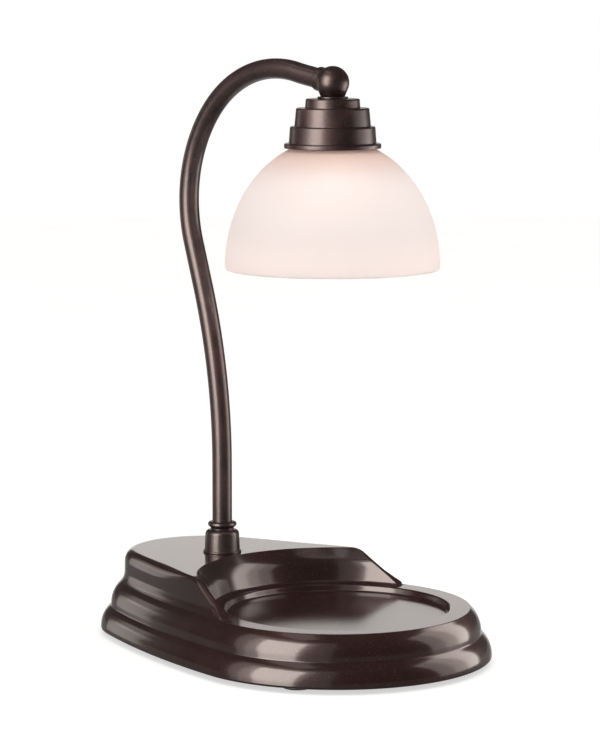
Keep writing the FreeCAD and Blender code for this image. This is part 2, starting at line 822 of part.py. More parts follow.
def arm_ball():
    tangent = math.radians(ball_cone_deg)
    diagonal = ball_radius * math.cos(math.pi / 4)
    top = vec(0, shade_y, ball_z + ball_radius)
    shoulder = vec(diagonal, shade_y, ball_z + diagonal)
    waist = vec(ball_radius * math.cos(tangent), shade_y, ball_z - ball_radius * math.sin(tangent))
    foot = vec(ball_foot_radius, shade_y, ball_foot_z)
    axis = vec(0, shade_y, ball_foot_z)
    edges = [Part.Arc(top, shoulder, waist).toShape()]
    for start, end in ((waist, foot), (foot, axis), (axis, top)):
        edges.append(Part.LineSegment(start, end).toShape())
    body = spun(edges)
    boss = along_arm(ball_socket_reach, ball_socket_reach - tube_seat, ball_socket_radius)
    rims = [e for e in boss.Edges if isinstance(e.Curve, Part.Circle)]
    rim = max(rims, key=lambda e: e.CenterOfMass.y)
    body = body.fuse(boss.makeFillet(ball_socket_round, [rim]))
    reach = ball_socket_reach + overcut
    body = body.cut(along_arm(reach, reach - tube_seat, tube_radius + fit_clearance))
    reach = tube_seat + overcut
    body = body.cut(along_arm(reach, reach + nipple_bore_radius, tube_radius - tube_wall))
    return drilled(body, nipple_radius + thread_clearance, ball_foot_z - overcut,
                   ball_foot_z + nipple_ball_depth + nipple_hole_spare, [(0, shade_y)])


def ball_washer():
    low_z, top_z = holder_top_z, ball_foot_z
    hole = nipple_radius + hole_clearance
    return turned([(hole, low_z), (ball_washer_radius, low_z, fine_round),
                   (ball_washer_radius, top_z - ball_washer_crown, fine_round),
                   (ball_foot_radius, top_z), (hole, top_z)], shade_y)


def nipple():
    top_z = ball_foot_z + nipple_ball_depth
    low_z = nut_bottom_z - nipple_tail
    rod = disc(nipple_radius, low_z, top_z, 0, shade_y)
    return drilled(rod, nipple_bore_radius, low_z - overcut, top_z + overcut, [(0, shade_y)])


def nipple_nut():
    top_z = strap_top_z - strap_thickness
    return hexagon(nut_flats, nut_bottom_z, top_z, 0, shade_y, nipple_radius + thread_clearance)


# --- shade holder ---
def shade_holder():
    outer = [(0, holder_top_z)]
    inner = []
    z = holder_top_z
    for top_radius, low_radius, height in holder_tiers:
        outer.append((top_radius, z, holder_edge_round))
        outer.append((low_radius, z - height))
        inner.append((top_radius - holder_wall, z - holder_wall, holder_inner_round))
        inner.append((low_radius - holder_wall, z - height - holder_wall))
        z -= height
    outer.append((holder_flange_radius, z, holder_flange_round))
    outer.append((holder_flange_radius, holder_bottom_z, fine_round))
    inner[-1] = (low_radius - holder_wall, holder_bottom_z)
    corners = outer + list(reversed(inner)) + [(0, strap_top_z)]
    cap = turned(corners, shade_y)
    hole = nipple_radius + hole_clearance
    return drilled(cap, hole, strap_top_z - overcut, holder_top_z + overcut, [(0, shade_y)])


# --- strap that hangs the socket ---
def strap_screw_places():
    x = strap_half_span + strap_foot_length / 2
    return [(-x, shade_y), (x, shade_y)]


def socket_bracket():
    half, thick = strap_half_span, strap_thickness
    foot_z = socket_top_z
    far = half + strap_foot_length
    right = [(half - thick, strap_top_z - thick, strap_inner_bend),
             (half - thick, foot_z, strap_foot_outer_bend),
             (far, foot_z), (far, foot_z + thick),
             (half, foot_z + thick, fine_round),
             (half, strap_top_z, strap_outer_bend)]
    left = [(-corner[0],) + corner[1:] for corner in reversed(right)]
    outline = right + left
    wire = corner_wire(outline, lambda u, v: vec(u, shade_y - strap_width / 2, v))
    strap = Part.Face(wire).extrude(vec(0, strap_width, 0))
    strap = drilled(strap, nipple_radius + hole_clearance, nut_bottom_z, holder_top_z, [(0, shade_y)])
    hole = strap_screw_radius + hole_clearance
    return drilled(strap, hole, foot_z - overcut, foot_z + thick + overcut, strap_screw_places())


def bracket_screw(x, y):
    seat_z = socket_top_z + strap_thickness
    tip_z = seat_z - strap_screw_length
    face_z = seat_z + strap_screw_head_height
    screw = turned([(0, tip_z), (strap_screw_radius, tip_z, fine_round), (strap_screw_radius, seat_z),
                    (strap_screw_head_radius, seat_z), (strap_screw_head_radius, face_z, small_round),
                    (0, face_z)], y, x)
    return screw.cut(top_slot(2 * strap_screw_head_radius, face_z, x, y))


# --- socket ---
def pin_places():
    return [(-pin_circle_radius, shade_y), (pin_circle_radius, shade_y)]


def channel_top_z():
    return socket_face_z + pin_length + contact_thickness + pin_clearance


def key_slot(half_width, low_z, top_z, start):
    """Arc slot about the shade's axis, round at both ends, as far as the bulb twists."""
    inner, outer = pin_circle_radius - half_width, pin_circle_radius + half_width
    middle, end = start - twist_deg / 2, start - twist_deg

    def spot(radius, angle):
        u, v = polar(radius, angle)
        return vec(u, shade_y + v, low_z)

    def tip(angle, side):
        u, v = polar(half_width, angle + side)
        return spot(pin_circle_radius, angle) + vec(u, v, 0)

    arcs = [(spot(outer, start), spot(outer, middle), spot(outer, end)),
            (spot(outer, end), tip(end, -90), spot(inner, end)),
            (spot(inner, end), spot(inner, middle), spot(inner, start)),
            (spot(inner, start), tip(start, 90), spot(outer, start))]
    wire = Part.Wire([Part.Arc(*points).toShape() for points in arcs])
    return Part.Face(wire).extrude(vec(0, 0, top_z - low_z))


def socket_body():
    face_z = socket_face_z
    shoulder_z = socket_top_z - socket_neck_length
    ledge_z = face_z + pin_ledge
    body = turned([(0, face_z), (socket_thread_radius, face_z, socket_edge_round),
                   (socket_thread_radius, shoulder_z, socket_shoulder_round),
                   (socket_neck_radius, shoulder_z), (socket_neck_radius, socket_top_z, socket_edge_round),
                   (0, socket_top_z)], shade_y)
    for start in (0, 180):
        body = body.cut(key_slot(pin_neck_radius + pin_clearance, face_z - overcut, ledge_z, start))
        body = body.cut(key_slot(pin_head_radius + pin_clearance, ledge_z, channel_top_z(), start))
        u, v = polar(pin_circle_radius, start - twist_deg)
        body = body.cut(disc(pin_head_radius + 2 * pin_clearance, face_z - overcut, ledge_z, u, shade_y + v))
    body = drilled(body, strap_screw_radius + thread_clearance, socket_top_z - strap_screw_length,
                   socket_top_z + overcut, strap_screw_places())
    leads = [(x, shade_y) for x in lead_xs()]
    return drilled(body, lead_radius + hole_clearance, lead_top_z, socket_top_z + overcut, leads)


def socket_contacts():
    """Two springy leaves at the roof of the channels, just above the pins' heads."""
    top_z = channel_top_z()
    return [key_slot(contact_half_width, top_z - contact_thickness, top_z, start) for start in (0, 180)]


def shade_ring():
    hole = socket_thread_radius + ring_thread_clearance
    top_z = holder_bottom_z - glass_neck_thickness
    low_z = top_z - ring_height
    ring = turned([(hole, low_z, fine_round), (ring_outer_radius, low_z, ring_edge_round),
                   (ring_outer_radius, top_z, ring_edge_round), (hole, top_z, fine_round)], shade_y)
    grips = []
    for i in range(ring_grip_count):
        u, v = polar(ring_outer_radius + ring_grip_offset, 360 / ring_grip_count * i)
        grips.append((u, shade_y + v))
    return drilled(ring, ring_grip_radius, low_z - overcut, top_z + overcut, grips)


# --- glass shade ---
def glass_radius(z, inward):
    """Radius at height z of the glass's outer ellipse, or of the ellipse that lies inward of it."""
    level = (z - glass_rim_z) / (glass_height_radius - inward)
    return (glass_half_width - inward) * math.sqrt(1 - level ** 2)


def ellipse_edge(inward, top_z):
    """Part of a quarter ellipse from the rim up to top_z, in the plane y = the shade's axis."""
    crown = vec(0, shade_y, glass_rim_z + glass_height_radius - inward)
    rim = vec(glass_half_width - inward, shade_y, glass_rim_z)
    ellipse = Part.Ellipse(crown, rim, vec(0, shade_y, glass_rim_z))
    low = ellipse.parameter(rim)
    high = ellipse.parameter(vec(glass_radius(top_z, inward), shade_y, top_z))
    return Part.Edge(ellipse, *sorted((low, high)))


def glass_shade():
    top_z = holder_bottom_z
    under_z = top_z - glass_neck_thickness
    hole = socket_thread_radius + glass_hole_clearance
    corner_out = vec(glass_radius(top_z, 0.0), shade_y, top_z)
    corner_in = vec(glass_radius(under_z, glass_wall), shade_y, under_z)
    neck_top = vec(hole, shade_y, top_z)
    neck_low = vec(hole, shade_y, under_z)
    rim_out = vec(glass_half_width, shade_y, glass_rim_z)
    rim_in = vec(glass_half_width - glass_wall, shade_y, glass_rim_z)
    rim_low = vec(glass_half_width - glass_wall / 2, shade_y, glass_rim_z - glass_wall / 2)
    rim = Part.Arc(rim_in, rim_low, rim_out).toShape()
    edges = [ellipse_edge(0.0, top_z), ellipse_edge(glass_wall, under_z), rim]
    for start, end in ((corner_out, neck_top), (neck_top, neck_low), (neck_low, corner_in)):
        edges.append(Part.LineSegment(start, end).toShape())
    return spun(edges)


# --- bulb ---
def bulb_seat_z():
    return socket_face_z - bulb_clearance


def bulb_foot_z():
    return bulb_seat_z() - bulb_base_height


def bulb_face_z():
    return socket_face_z - bulb_length


def bulb_base():
    seat_z, foot_z = bulb_seat_z(), bulb_foot_z()
    roof_z = foot_z + bulb_base_socket
    inner = bulb_base_radius - bulb_base_wall
    body = turned([(0, seat_z), (bulb_base_top_radius, seat_z, bulb_base_round),
                   (bulb_base_radius, foot_z, small_round), (inner, foot_z),
                   (inner, roof_z), (0, roof_z)], shade_y)
    return drilled(body, pin_neck_radius, foot_z, seat_z + overcut, pin_places())


def bulb_pin(x, y):
    tip_z = socket_face_z + pin_length
    head_z = tip_z - pin_head_length
    root_z = bulb_foot_z() + bulb_base_socket
    return turned([(0, root_z), (pin_neck_radius, root_z), (pin_neck_radius, head_z),
                   (pin_head_radius, head_z, fine_round), (pin_head_radius, tip_z, pin_tip_round),
                   (0, tip_z)], y, x)


def bulb_reflector():
    wall = bulb_reflector_wall
    foot_z, face_z = bulb_foot_z(), bulb_face_z()
    neck = bulb_base_radius - bulb_base_wall - fit_clearance
    rim_z = face_z + bulb_rim_height
    neck_z = foot_z + bulb_base_socket - reflector_neck_gap
    bowl_z = foot_z - reflector_neck_drop
    bow_z = (foot_z + rim_z) / 2 - reflector_bow_drop
    sides = []
    for inward in (0, wall):
        neck_top = vec(neck - inward, shade_y, neck_z)
        bowl_top = vec(neck - inward, shade_y, bowl_z)
        bow = vec(bulb_face_radius - reflector_bow_inset - inward, shade_y, bow_z)
        rim = vec(bulb_face_radius - inward, shade_y, rim_z)
        edge = vec(bulb_face_radius - inward, shade_y, face_z)
        sides.append((neck_top, bowl_top, bow, rim, edge))
    edges = []
    for neck_top, bowl_top, bow, rim, edge in sides:
        edges.append(Part.LineSegment(neck_top, bowl_top).toShape())
        edges.append(Part.Arc(bowl_top, bow, rim).toShape())
        edges.append(Part.LineSegment(rim, edge).toShape())
    for outer, inner in ((sides[0][0], sides[1][0]), (sides[0][-1], sides[1][-1])):
        edges.append(Part.LineSegment(outer, inner).toShape())
    return spun(edges)


def bulb_lens():
    low_z = bulb_face_z() + lens_sink
    top_z = low_z + lens_thickness
    radius = bulb_face_radius - bulb_reflector_wall - fit_clearance
    return turned([(0, low_z), (radius, low_z, fine_round), (radius, top_z, fine_round), (0, top_z)], shade_y)


def bulb_burner():
    top_z = bulb_foot_z() + bulb_base_socket
    low_z = top_z - burner_length
    shoulder_z = top_z - burner_shoulder_height
    return turned([(0, low_z), (burner_radius, low_z, burner_tip_round),
                   (burner_radius, shoulder_z, burner_shoulder_round),
                   (burner_radius - burner_shoulder, top_z), (0, top_z)], shade_y)


def nodes():
    """Every node's name and shape; a list is a group of separate solids."""
    feet = foot_places()
    table = {
        "base_shell": base_shell(),
        "base_cover": base_cover(),
        "rubber_feet": [rubber_foot(x, y) for x, y in feet],
        "cover_screws": [cover_screw(x, y) for x, y in feet],
        "ballast_plate": ballast_plate(),
        "cord_bushing": cord_bushing(),
        "terminal_block": terminal_block(),
        "terminal_screws": [terminal_screw(x, y) for x, y in terminal_places()],
        "block_screw": block_screw(),
        "post_ferrule": post_ferrule(),
        "neck_ring": neck_ring(),
        "arm_tube": arm_tube(),
        "arm_washer": arm_washer(),
        "arm_nut": arm_nut(),
        "arm_ball": arm_ball(),
        "ball_washer": ball_washer(),
        "nipple": nipple(),
        "nipple_nut": nipple_nut(),
        "shade_holder": shade_holder(),
        "socket_bracket": socket_bracket(),
        "bracket_screws": [bracket_screw(x, y) for x, y in strap_screw_places()],
        "socket_body": socket_body(),
        "socket_contacts": socket_contacts(),
        "shade_ring": shade_ring(),
        "glass_shade": glass_shade(),
        "bulb_base": bulb_base(),
        "bulb_pins": [bulb_pin(x, y) for x, y in pin_places()],
        "bulb_reflector": bulb_reflector(),
        "bulb_lens": bulb_lens(),
        "bulb_burner": bulb_burner(),
        "lead_wire_live": lead_wire(lead_xs()[0]),
        "lead_wire_neutral": lead_wire(lead_xs()[1]),
    }
    return table


def main():
    os.makedirs("parts", exist_ok=True)
    for name, shape in nodes().items():
        if isinstance(shape, list):
            shape = Part.makeCompound(shape)
        shape.exportStep("parts/" + name + ".step")
        state = "valid" if shape.isValid() else "not valid"
        print(name, len(shape.Solids), "solids", state, round(shape.Volume), "mm3")


main()
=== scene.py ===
import math

import bmesh
import bpy
from mathutils import Matrix, Vector


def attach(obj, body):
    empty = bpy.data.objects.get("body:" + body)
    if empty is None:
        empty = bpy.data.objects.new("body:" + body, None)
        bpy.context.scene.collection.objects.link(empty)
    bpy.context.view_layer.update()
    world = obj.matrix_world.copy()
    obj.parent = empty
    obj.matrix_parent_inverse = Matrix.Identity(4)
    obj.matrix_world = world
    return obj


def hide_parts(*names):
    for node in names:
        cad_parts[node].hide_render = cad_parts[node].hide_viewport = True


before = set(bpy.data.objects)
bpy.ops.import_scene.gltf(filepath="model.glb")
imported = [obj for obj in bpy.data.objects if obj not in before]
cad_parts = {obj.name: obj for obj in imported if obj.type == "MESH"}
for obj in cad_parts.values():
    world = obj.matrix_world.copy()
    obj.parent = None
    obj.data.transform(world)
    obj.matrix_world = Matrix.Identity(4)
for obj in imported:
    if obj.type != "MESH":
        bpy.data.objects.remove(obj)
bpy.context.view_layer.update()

mm = 0.001


# Small tools: colours, nodes, meshes

def hexColour(code):  # sRGB hex to linear
    parts = [int(code[i:i + 2], 16) / 255 for i in (0, 2, 4)]
    return [c / 12.92 if c <= 0.04045 else ((c + 0.055) / 1.055) ** 2.4 for c in parts] + [1.0]


def onCircle(degrees, radius=1.0):
    return radius * math.cos(math.radians(degrees)), radius * math.sin(math.radians(degrees))


def addNode(tree, kind, inputs=None, **settings):
    # Inputs are values, sockets, or nodes that stand for their first output
    family = {"SHADER": "ShaderNode", "GEOMETRY": "GeometryNode"}[tree.type]
    node = tree.nodes.new(kind if kind.startswith("NodeGroup") else family + kind)
    for key, value in settings.items():
        setattr(node, key, value)
    for key, value in (inputs or {}).items():
        if isinstance(value, bpy.types.Node):
            value = value.outputs[0]
        if isinstance(value, bpy.types.NodeSocket):
            tree.links.new(value, node.inputs[key])
        else:
            node.inputs[key].default_value = value
    return node


def setRamp(node, stops):
    # Stops are (place, tone), a tone being a hex colour or a plain level
    ramp = node.color_ramp
    while len(ramp.elements) < len(stops):
        ramp.elements.new(0.5)
    for element, (place, tone) in zip(ramp.elements, stops):
        element.position = place
        element.color = hexColour(tone) if isinstance(tone, str) else (tone, tone, tone, 1)
    return node


def addObject(name, data):
    added = bpy.data.objects.new(name, data)
    bpy.context.scene.collection.objects.link(added)
    return added


pathSettings = {
    "flat": 89.7,  # half angle in degrees from which a corner counts as straight
    "flatReach": 0.05,  # mm round such a corner where its points then lie
    "legShare": 0.99,  # how much of a leg its two fillets may fill
    "holdShare": 0.4,  # how much of what is left a support line may take
    "steps": 6,  # points round a fillet that names none
    "tiny": 1e-6,  # mm, below which a length counts as none
}


def roundedPath(corners, hold=0.0):
    # Path through 3-D corners given as (point, fillet radius, steps). A corner always gives the same
    # number of points, also where it is straight, so paths of neighbouring sections join into a grid.
    s = pathSettings
    flat = math.radians(s["flat"])
    spots = [corner[0] for corner in corners]
    last = len(corners) - 1
    legs = [(b - a).length for a, b in zip(spots, spots[1:])]
    halves, wanted, reaches = [[0.0] * (last + 1) for _ in range(3)]
    for i in range(1, last):
        radius, steps = corners[i][1], corners[i][2]
        if steps == 0 or min(legs[i - 1], legs[i]) < s["tiny"]:
            continue
        halves[i] = (spots[i - 1] - spots[i]).angle(spots[i + 1] - spots[i]) / 2
        straight = halves[i] > flat or radius <= 0
        wanted[i] = s["flatReach"] if straight else radius / math.tan(halves[i])
    for i in range(1, last):
        if wanted[i] > 0:
            share = min(legs[i - 1] / (wanted[i - 1] + wanted[i]), legs[i] / (wanted[i] + wanted[i + 1]))
            reaches[i] = min(wanted[i], wanted[i] * share * s["legShare"])
    points = []
    for i, (here, radius, steps) in enumerate(corners):
        if steps == 0 or i in (0, last):
            points.append(here.copy())
            continue
        if wanted[i] == 0:
            points += [here.copy()] * (steps + 3)
            continue
        half, reach = halves[i], reaches[i]
        back, ahead = (spots[i - 1] - here).normalized(), (spots[i + 1] - here).normalized()
        start, end = here + back * reach, here + ahead * reach
        if half > flat or radius <= 0:
            arc = [start.lerp(end, k / steps) for k in range(steps + 1)]
        else:
            centre = here + (back + ahead).normalized() * (reach / math.cos(half))
            axis = (start - centre).cross(end - centre).normalized()
            sweep = (start - centre).angle(end - centre)
            arc = [centre + Matrix.Rotation(sweep * k / steps, 3, axis) @ (start - centre)
                   for k in range(steps + 1)]
        spare = [max(0.0, min(hold, s["holdShare"] * (leg - reach))) for leg in (legs[i - 1], legs[i])]
        points += [arc[0] + back * spare[0]] + arc + [arc[-1] + ahead * spare[1]]
    return points


def profilePoints(corners, hold=0.12):
    # (radius, z) or (radius, z, fillet, steps) corners to a list of (radius, z)
    full = []
    for corner in corners:
        r, z = corner[0], corner[1]
        fillet = corner[2] if len(corner) > 2 else 0.0
        steps = corner[3] if len(corner) > 3 else (pathSettings["steps"] if fillet > 0 else 0)
        full.append((Vector((r, 0, z)), fillet, steps))
    return [(p.x, p.z) for p in roundedPath(full, hold)]


meshSettings = {"weld": 2e-7, "sliver": 1e-7}  # gaps in metres that are closed


def finishMesh(name, bm, material, sharp=34):
    bmesh.ops.remove_doubles(bm, verts=bm.verts, dist=meshSettings["weld"])
    bmesh.ops.dissolve_degenerate(bm, edges=bm.edges, dist=meshSettings["sliver"])
    bmesh.ops.recalc_face_normals(bm, faces=bm.faces)
    mesh = bpy.data.meshes.new(name)
    bm.to_mesh(mesh)
    bm.free()
    mesh.shade_smooth()
    mesh.set_sharp_from_angle(angle=math.radians(sharp))
    mesh.materials.append(material)
    return addObject(name, mesh)


def gridMesh(bm, rows, around):
    # Rows of points joined into a closed strip of quads; a row of one point is a pole.
    rings = [[bm.verts.new(p) for p in row] for row in rows]
    for a, b in zip(rings, rings[1:]):
        for i in range(around):
            j = (i + 1) % around
            corners = [a[i % len(a)], a[j % len(a)], b[j % len(b)], b[i % len(b)]]
            corners = [v for k, v in enumerate(corners) if v not in corners[:k]]
            if len(corners) > 2:
                bm.faces.new(corners)
    return rings


def turnedMesh(bm, profile, centre, around, axis="Z", closed=True):
    # Solid of revolution from (radius, height) points in mm; centre is a point on the axis in mm.
    tiny = pathSettings["tiny"]
    path = list(profile)
    if closed and (path[0][0] > tiny or path[-1][0] > tiny):
        path.append(path[0])
    rows = []
    for r, h in path:
        row = []
        for i in range(around if r > tiny else 1):
            angle = 2 * math.pi * i / around
            u, v = r * math.cos(angle), r * math.sin(angle)
            offset = (u, v, h) if axis == "Z" else (u, h, v)
            row.append(Vector([(c + o) * mm for c, o in zip(centre, offset)]))
        rows.append(row)
    return gridMesh(bm, rows, around)


def turnedSolid(name, profile, centre, material, around, axis="Z", closed=True, sharp=34):
    bm = bmesh.new()
    turnedMesh(bm, profile, centre, around, axis, closed)
    return finishMesh(name, bm, material, sharp)


def turnedPiece(name, corners, centre, material, around=144, axis="Z"):
    return turnedSolid(name, profilePoints(corners), centre, material, around, axis)


def plainMesh(holder, name):
    # What the modifiers of holder make, as a mesh of its own at the origin
    bpy.context.view_layer.update()
    graph = bpy.context.evaluated_depsgraph_get()
    mesh = bpy.data.meshes.new_from_object(holder.evaluated_get(graph), depsgraph=graph)
    mesh.name = name
    piece = addObject(name, mesh)
    bpy.data.objects.remove(holder)
    return piece


def combine(piece, tools, name, crossing=False):
    # The piece with each tool added or cut away; crossing tells that a tool's own parts overlap
    for tool, kind in tools:
        change = piece.modifiers.new(tool.name, "BOOLEAN")
        change.object = tool
        change.operation = kind
        change.solver = "EXACT"
        change.use_self = crossing
    done = plainMesh(piece, name)
    for tool, _ in tools:
        bpy.data.objects.remove(tool)
    return done


def nodeGroup(name, inputs):
    tree = bpy.data.node_groups.new(name, "GeometryNodeTree")
    tree.interface.new_socket("Geometry", in_out="INPUT", socket_type="NodeSocketGeometry")
    for label, kind in inputs:
        tree.interface.new_socket(label, in_out="INPUT", socket_type="NodeSocket" + kind)
    tree.interface.new_socket("Geometry", in_out="OUTPUT", socket_type="NodeSocketGeometry")
    return tree


def giveGroup(holder, tree, values):
    modifier = holder.modifiers.new(tree.name, "NODES")
    modifier.node_group = tree
    for item in tree.interface.items_tree:
        if item.in_out == "INPUT" and item.name in values:
            modifier[item.identifier] = values[item.name]
    return modifier


def join(pieces):
    # Several meshes into the first one
    bm = bmesh.new()
    for piece in pieces:
        bm.from_mesh(piece.data)
    bm.to_mesh(pieces[0].data)
    bm.free()
    for piece in pieces[1:]:
        bpy.data.objects.remove(piece)
    return pieces[0]


# Camera

cameraSettings = {
    "place": (-1168.2, -1175.2, 363.2),
    "heading": (0.7085, 0.7057),
    "pitch": 7.22,
    "lens": 153.3, "sensor": 36, "near": 0.05, "far": 50,
}


def addCamera(s):
    data = bpy.data.cameras.new("camera")
    data.lens = s["lens"]
    data.sensor_width = s["sensor"]
    data.sensor_fit = "AUTO"
    data.clip_start = s["near"]
    data.clip_end = s["far"]
    camera = addObject("camera", data)
    flat = Vector((*s["heading"], 0)).normalized()
    tilt = math.radians(s["pitch"])
    look = flat * math.cos(tilt) + Vector((0, 0, -math.sin(tilt)))
    camera.rotation_euler = look.to_track_quat("-Z", "Y").to_euler()
    camera.location = Vector(s["place"]) * mm
    bpy.context.scene.camera = camera


addCamera(cameraSettings)
bpy.context.scene.view_settings.view_transform = "Standard"


# Materials

def newMaterial(name):
    material = bpy.data.materials.new(name)
    material.use_nodes = True
    material.node_tree.nodes.clear()
    return material, material.node_tree


def objectSpot(tree):
    # Object coordinates in mm, so that every pattern below has its size in mm
    spot = addNode(tree, "TexCoord")
    scale = 1 / mm
    return addNode(tree, "Mapping", {"Vector": spot.outputs["Object"], "Scale": (scale, scale, scale)})


bronzeSettings = {
    # patterns are (size in mm, detail)
    "cloud": (38.0, 3.0), "tones": [(0.3, "2c1817"), (0.52, "351d1b"), (0.75, "3f2422")],
    "flake": (0.4, 1.0), "flakeTone": "a08878", "flakeShare": (0.70, 0.82),
    "roughness": (0.34, 0.42), "grainSize": 0.45, "grainDepth": 0.004, "peelSize": 1.4, "peelDepth": 0.008,
    "shader": {"Metallic": 0.12, "Specular IOR Level": 0.1, "Coat Weight": 1.0, "Coat Roughness": 0.13,
               "Coat IOR": 1.5},
}


def flakedTone(tree, spot, s):
    # A cloudy tone with light metal flakes in it, and the two patterns it comes from
    cloud, flake = [addNode(tree, "TexNoise", {"Vector": spot, "Scale": 1 / size, "Detail": detail})
                    for size, detail in (s["cloud"], s["flake"])]
    tint = setRamp(addNode(tree, "ValToRGB", {"Fac": cloud}), s["tones"])
    share = addNode(tree, "MapRange", {
        "Value": flake, "From Min": s["flakeShare"][0], "From Max": s["flakeShare"][1]})
    # In a colour mix inputs 6 and 7 are the two colours and output 2 is what they give
    colour = addNode(tree, "Mix", {
        "Factor": share, 6: tint, 7: hexColour(s["flakeTone"])}, data_type="RGBA")
    return colour.outputs[2], cloud, flake


def mouldedBronze(s):
    # Moulded plastic, sprayed with brown bronze flake and lacquered: dark with a broad brownish glow, metal
    # flakes drawn coarser than real ones so that they show, and a wet-looking coat with slight orange peel
    material, tree = newMaterial("bronzeFlakeLacquer")
    spot = objectSpot(tree)
    colour, cloud, _ = flakedTone(tree, spot, s)
    shine = addNode(tree, "MapRange", {
        "Value": cloud, "To Min": s["roughness"][0], "To Max": s["roughness"][1]})
    grain = addNode(tree, "TexNoise", {"Vector": spot, "Scale": 1 / s["grainSize"], "Detail": 2.0})
    fine = addNode(tree, "Bump", {"Height": grain, "Distance": s["grainDepth"] * mm})
    peel = addNode(tree, "TexNoise", {"Vector": spot, "Scale": 1 / s["peelSize"], "Detail": 1.5})
    skin = addNode(tree, "Bump", {"Height": peel, "Distance": s["peelDepth"] * mm})
    shader = addNode(tree, "BsdfPrincipled", {
        "Base Color": colour, "Roughness": shine, "Normal": fine,
        "Coat Normal": skin, **s["shader"]})
    addNode(tree, "OutputMaterial", {"Surface": shader})
    return material


satinSettings = {
    "name": "oilRubbedBronzePaint",
    "cloud": (14.0, 4.0), "tones": [(0.3, "251313"), (0.5, "382120"), (0.75, "4b302d")],
    "flake": (0.5, 2.0), "flakeTone": "a08c80", "flakeShare": (0.67, 0.77),
    "noise": (0.3, 0.7), "roughness": (0.34, 0.46), "grainDepth": 0.006,
    "shader": {"Metallic": 0.32, "Coat Weight": 0.5, "Coat Roughness": 0.26, "Coat IOR": 1.5},
}
# Tube, ferrule and bead are drawn or turned smooth before they are painted, so they shine crisper than
# the castings
tubeSettings = {
    **satinSettings, "name": "oilRubbedBronzeTube",
    # Its middle tone is a little lighter than the castings', though the paint is the same: painted light on
    # the arm
    "tones": [(0.3, "251313"), (0.5, "3c2624"), (0.75, "4b302d")],
    "shader": {"Metallic": 0.2, "Coat Weight": 0.5, "Coat Roughness": 0.12, "Coat IOR": 1.5},
}


def satinBronze(s):
    # Oil-rubbed bronze paint on metal: dark brown, satin, with a metallic grain drawn coarser than the real
    # one so that it shows
    material, tree = newMaterial(s["name"])
    colour, _, flake = flakedTone(tree, objectSpot(tree), s)
    shine = addNode(tree, "MapRange", {
        "Value": flake, "From Min": s["noise"][0], "From Max": s["noise"][1],
        "To Min": s["roughness"][0], "To Max": s["roughness"][1]})
    fine = addNode(tree, "Bump", {"Height": flake, "Distance": s["grainDepth"] * mm})
    shader = addNode(tree, "BsdfPrincipled", {
        "Base Color": colour, "Roughness": shine, "Normal": fine, **s["shader"]})
    addNode(tree, "OutputMaterial", {"Surface": shader})
    return material


glassSettings = {
    "low": 208.2, "high": 271.6,  # heights in mm between which the stops below lie, from 0 to 1
    # tint: the glass's own colour, turning pinker at the neck as painted shade of the socket and ring inside
    "tint": [(0.0, "f8f2f0"), (0.8, "f8f2f0"), (0.94, "f8ddd1"), (1.0, "f8ddd1")],
    # glow and level: painted light of the bulb through the glass, brightest at mid-height, with painted shade
    # under the neck
    "glow": [(0.0, "fbf5f2"), (0.45, "fdfafa"), (0.72, "fff9f5"), (0.88, "eccfc2"), (1.0, "e8c8bb")],
    "level": [(0.0, 0.1), (0.45, 0.21), (0.7, 0.23), (0.87, 0.14), (1.0, 0.16)],
    "through": "fbf4f1", "throughShare": 0.45, "grainSize": 0.9, "grainDepth": 0.01,
    "shader": {"Roughness": 0.62, "IOR": 1.5, "Specular IOR Level": 0.3},
}


def frostedGlass(s):
    # Pressed glass, sand-blasted outside: milky. The bulb's light through it is painted on as an emission
    # glow that changes with height, and the pinker band towards the neck is painted shade of the socket and
    # ring inside. The blasted grain is drawn coarser than the real one so that it shows.
    material, tree = newMaterial("frostedGlass")
    spot = objectSpot(tree)
    axes = addNode(tree, "SeparateXYZ", {"Vector": spot})
    height = addNode(tree, "MapRange", {
        "Value": axes.outputs["Z"], "From Min": s["low"], "From Max": s["high"]})
    tint, glow, level = [setRamp(addNode(tree, "ValToRGB", {"Fac": height}), s[stops])
                         for stops in ("tint", "glow", "level")]
    grain = addNode(tree, "TexNoise", {"Vector": spot, "Scale": 1 / s["grainSize"], "Detail": 2.0})
    bump = addNode(tree, "Bump", {"Height": grain, "Distance": s["grainDepth"] * mm})
    # The emission is painted light: the bulb's glow through the glass, set by height
    body = addNode(tree, "BsdfPrincipled", {
        "Base Color": tint, "Normal": bump, "Emission Color": glow,
        "Emission Strength": level, **s["shader"]})
    through = addNode(tree, "BsdfTranslucent", {"Color": hexColour(s["through"])})
    mix = addNode(tree, "MixShader", {0: s["throughShare"], 1: body, 2: through})
    addNode(tree, "OutputMaterial", {"Surface": mix})
    return material


grainSettings = {"noise": (0.3, 0.7), "detail": 4.0}  # the noise between which a plain finish changes


def finish(name, tones, size, rough, depth=0.0, **sockets):
    # A plain finish with its own grain: two tones, a grain size in mm, how rough and how deep it is
    material, tree = newMaterial(name)
    low, high = grainSettings["noise"]
    grain = addNode(tree, "TexNoise", {
        "Vector": objectSpot(tree), "Scale": 1 / size, "Detail": grainSettings["detail"]})
    tint = setRamp(addNode(tree, "ValToRGB", {"Fac": grain}), [(low, tones[0]), (high, tones[1])])
    shine = addNode(tree, "MapRange", {
        "Value": grain, "From Min": low, "From Max": high,
        "To Min": rough[0], "To Max": rough[1]})
    bump = addNode(tree, "Bump", {"Height": grain, "Distance": depth * mm})
    shader = addNode(tree, "BsdfPrincipled", {
        "Base Color": tint, "Roughness": shine, "Normal": bump,
        **{key.replace("_", " "): value for key, value in sockets.items()}})
    addNode(tree, "OutputMaterial", {"Surface": shader})
    return material


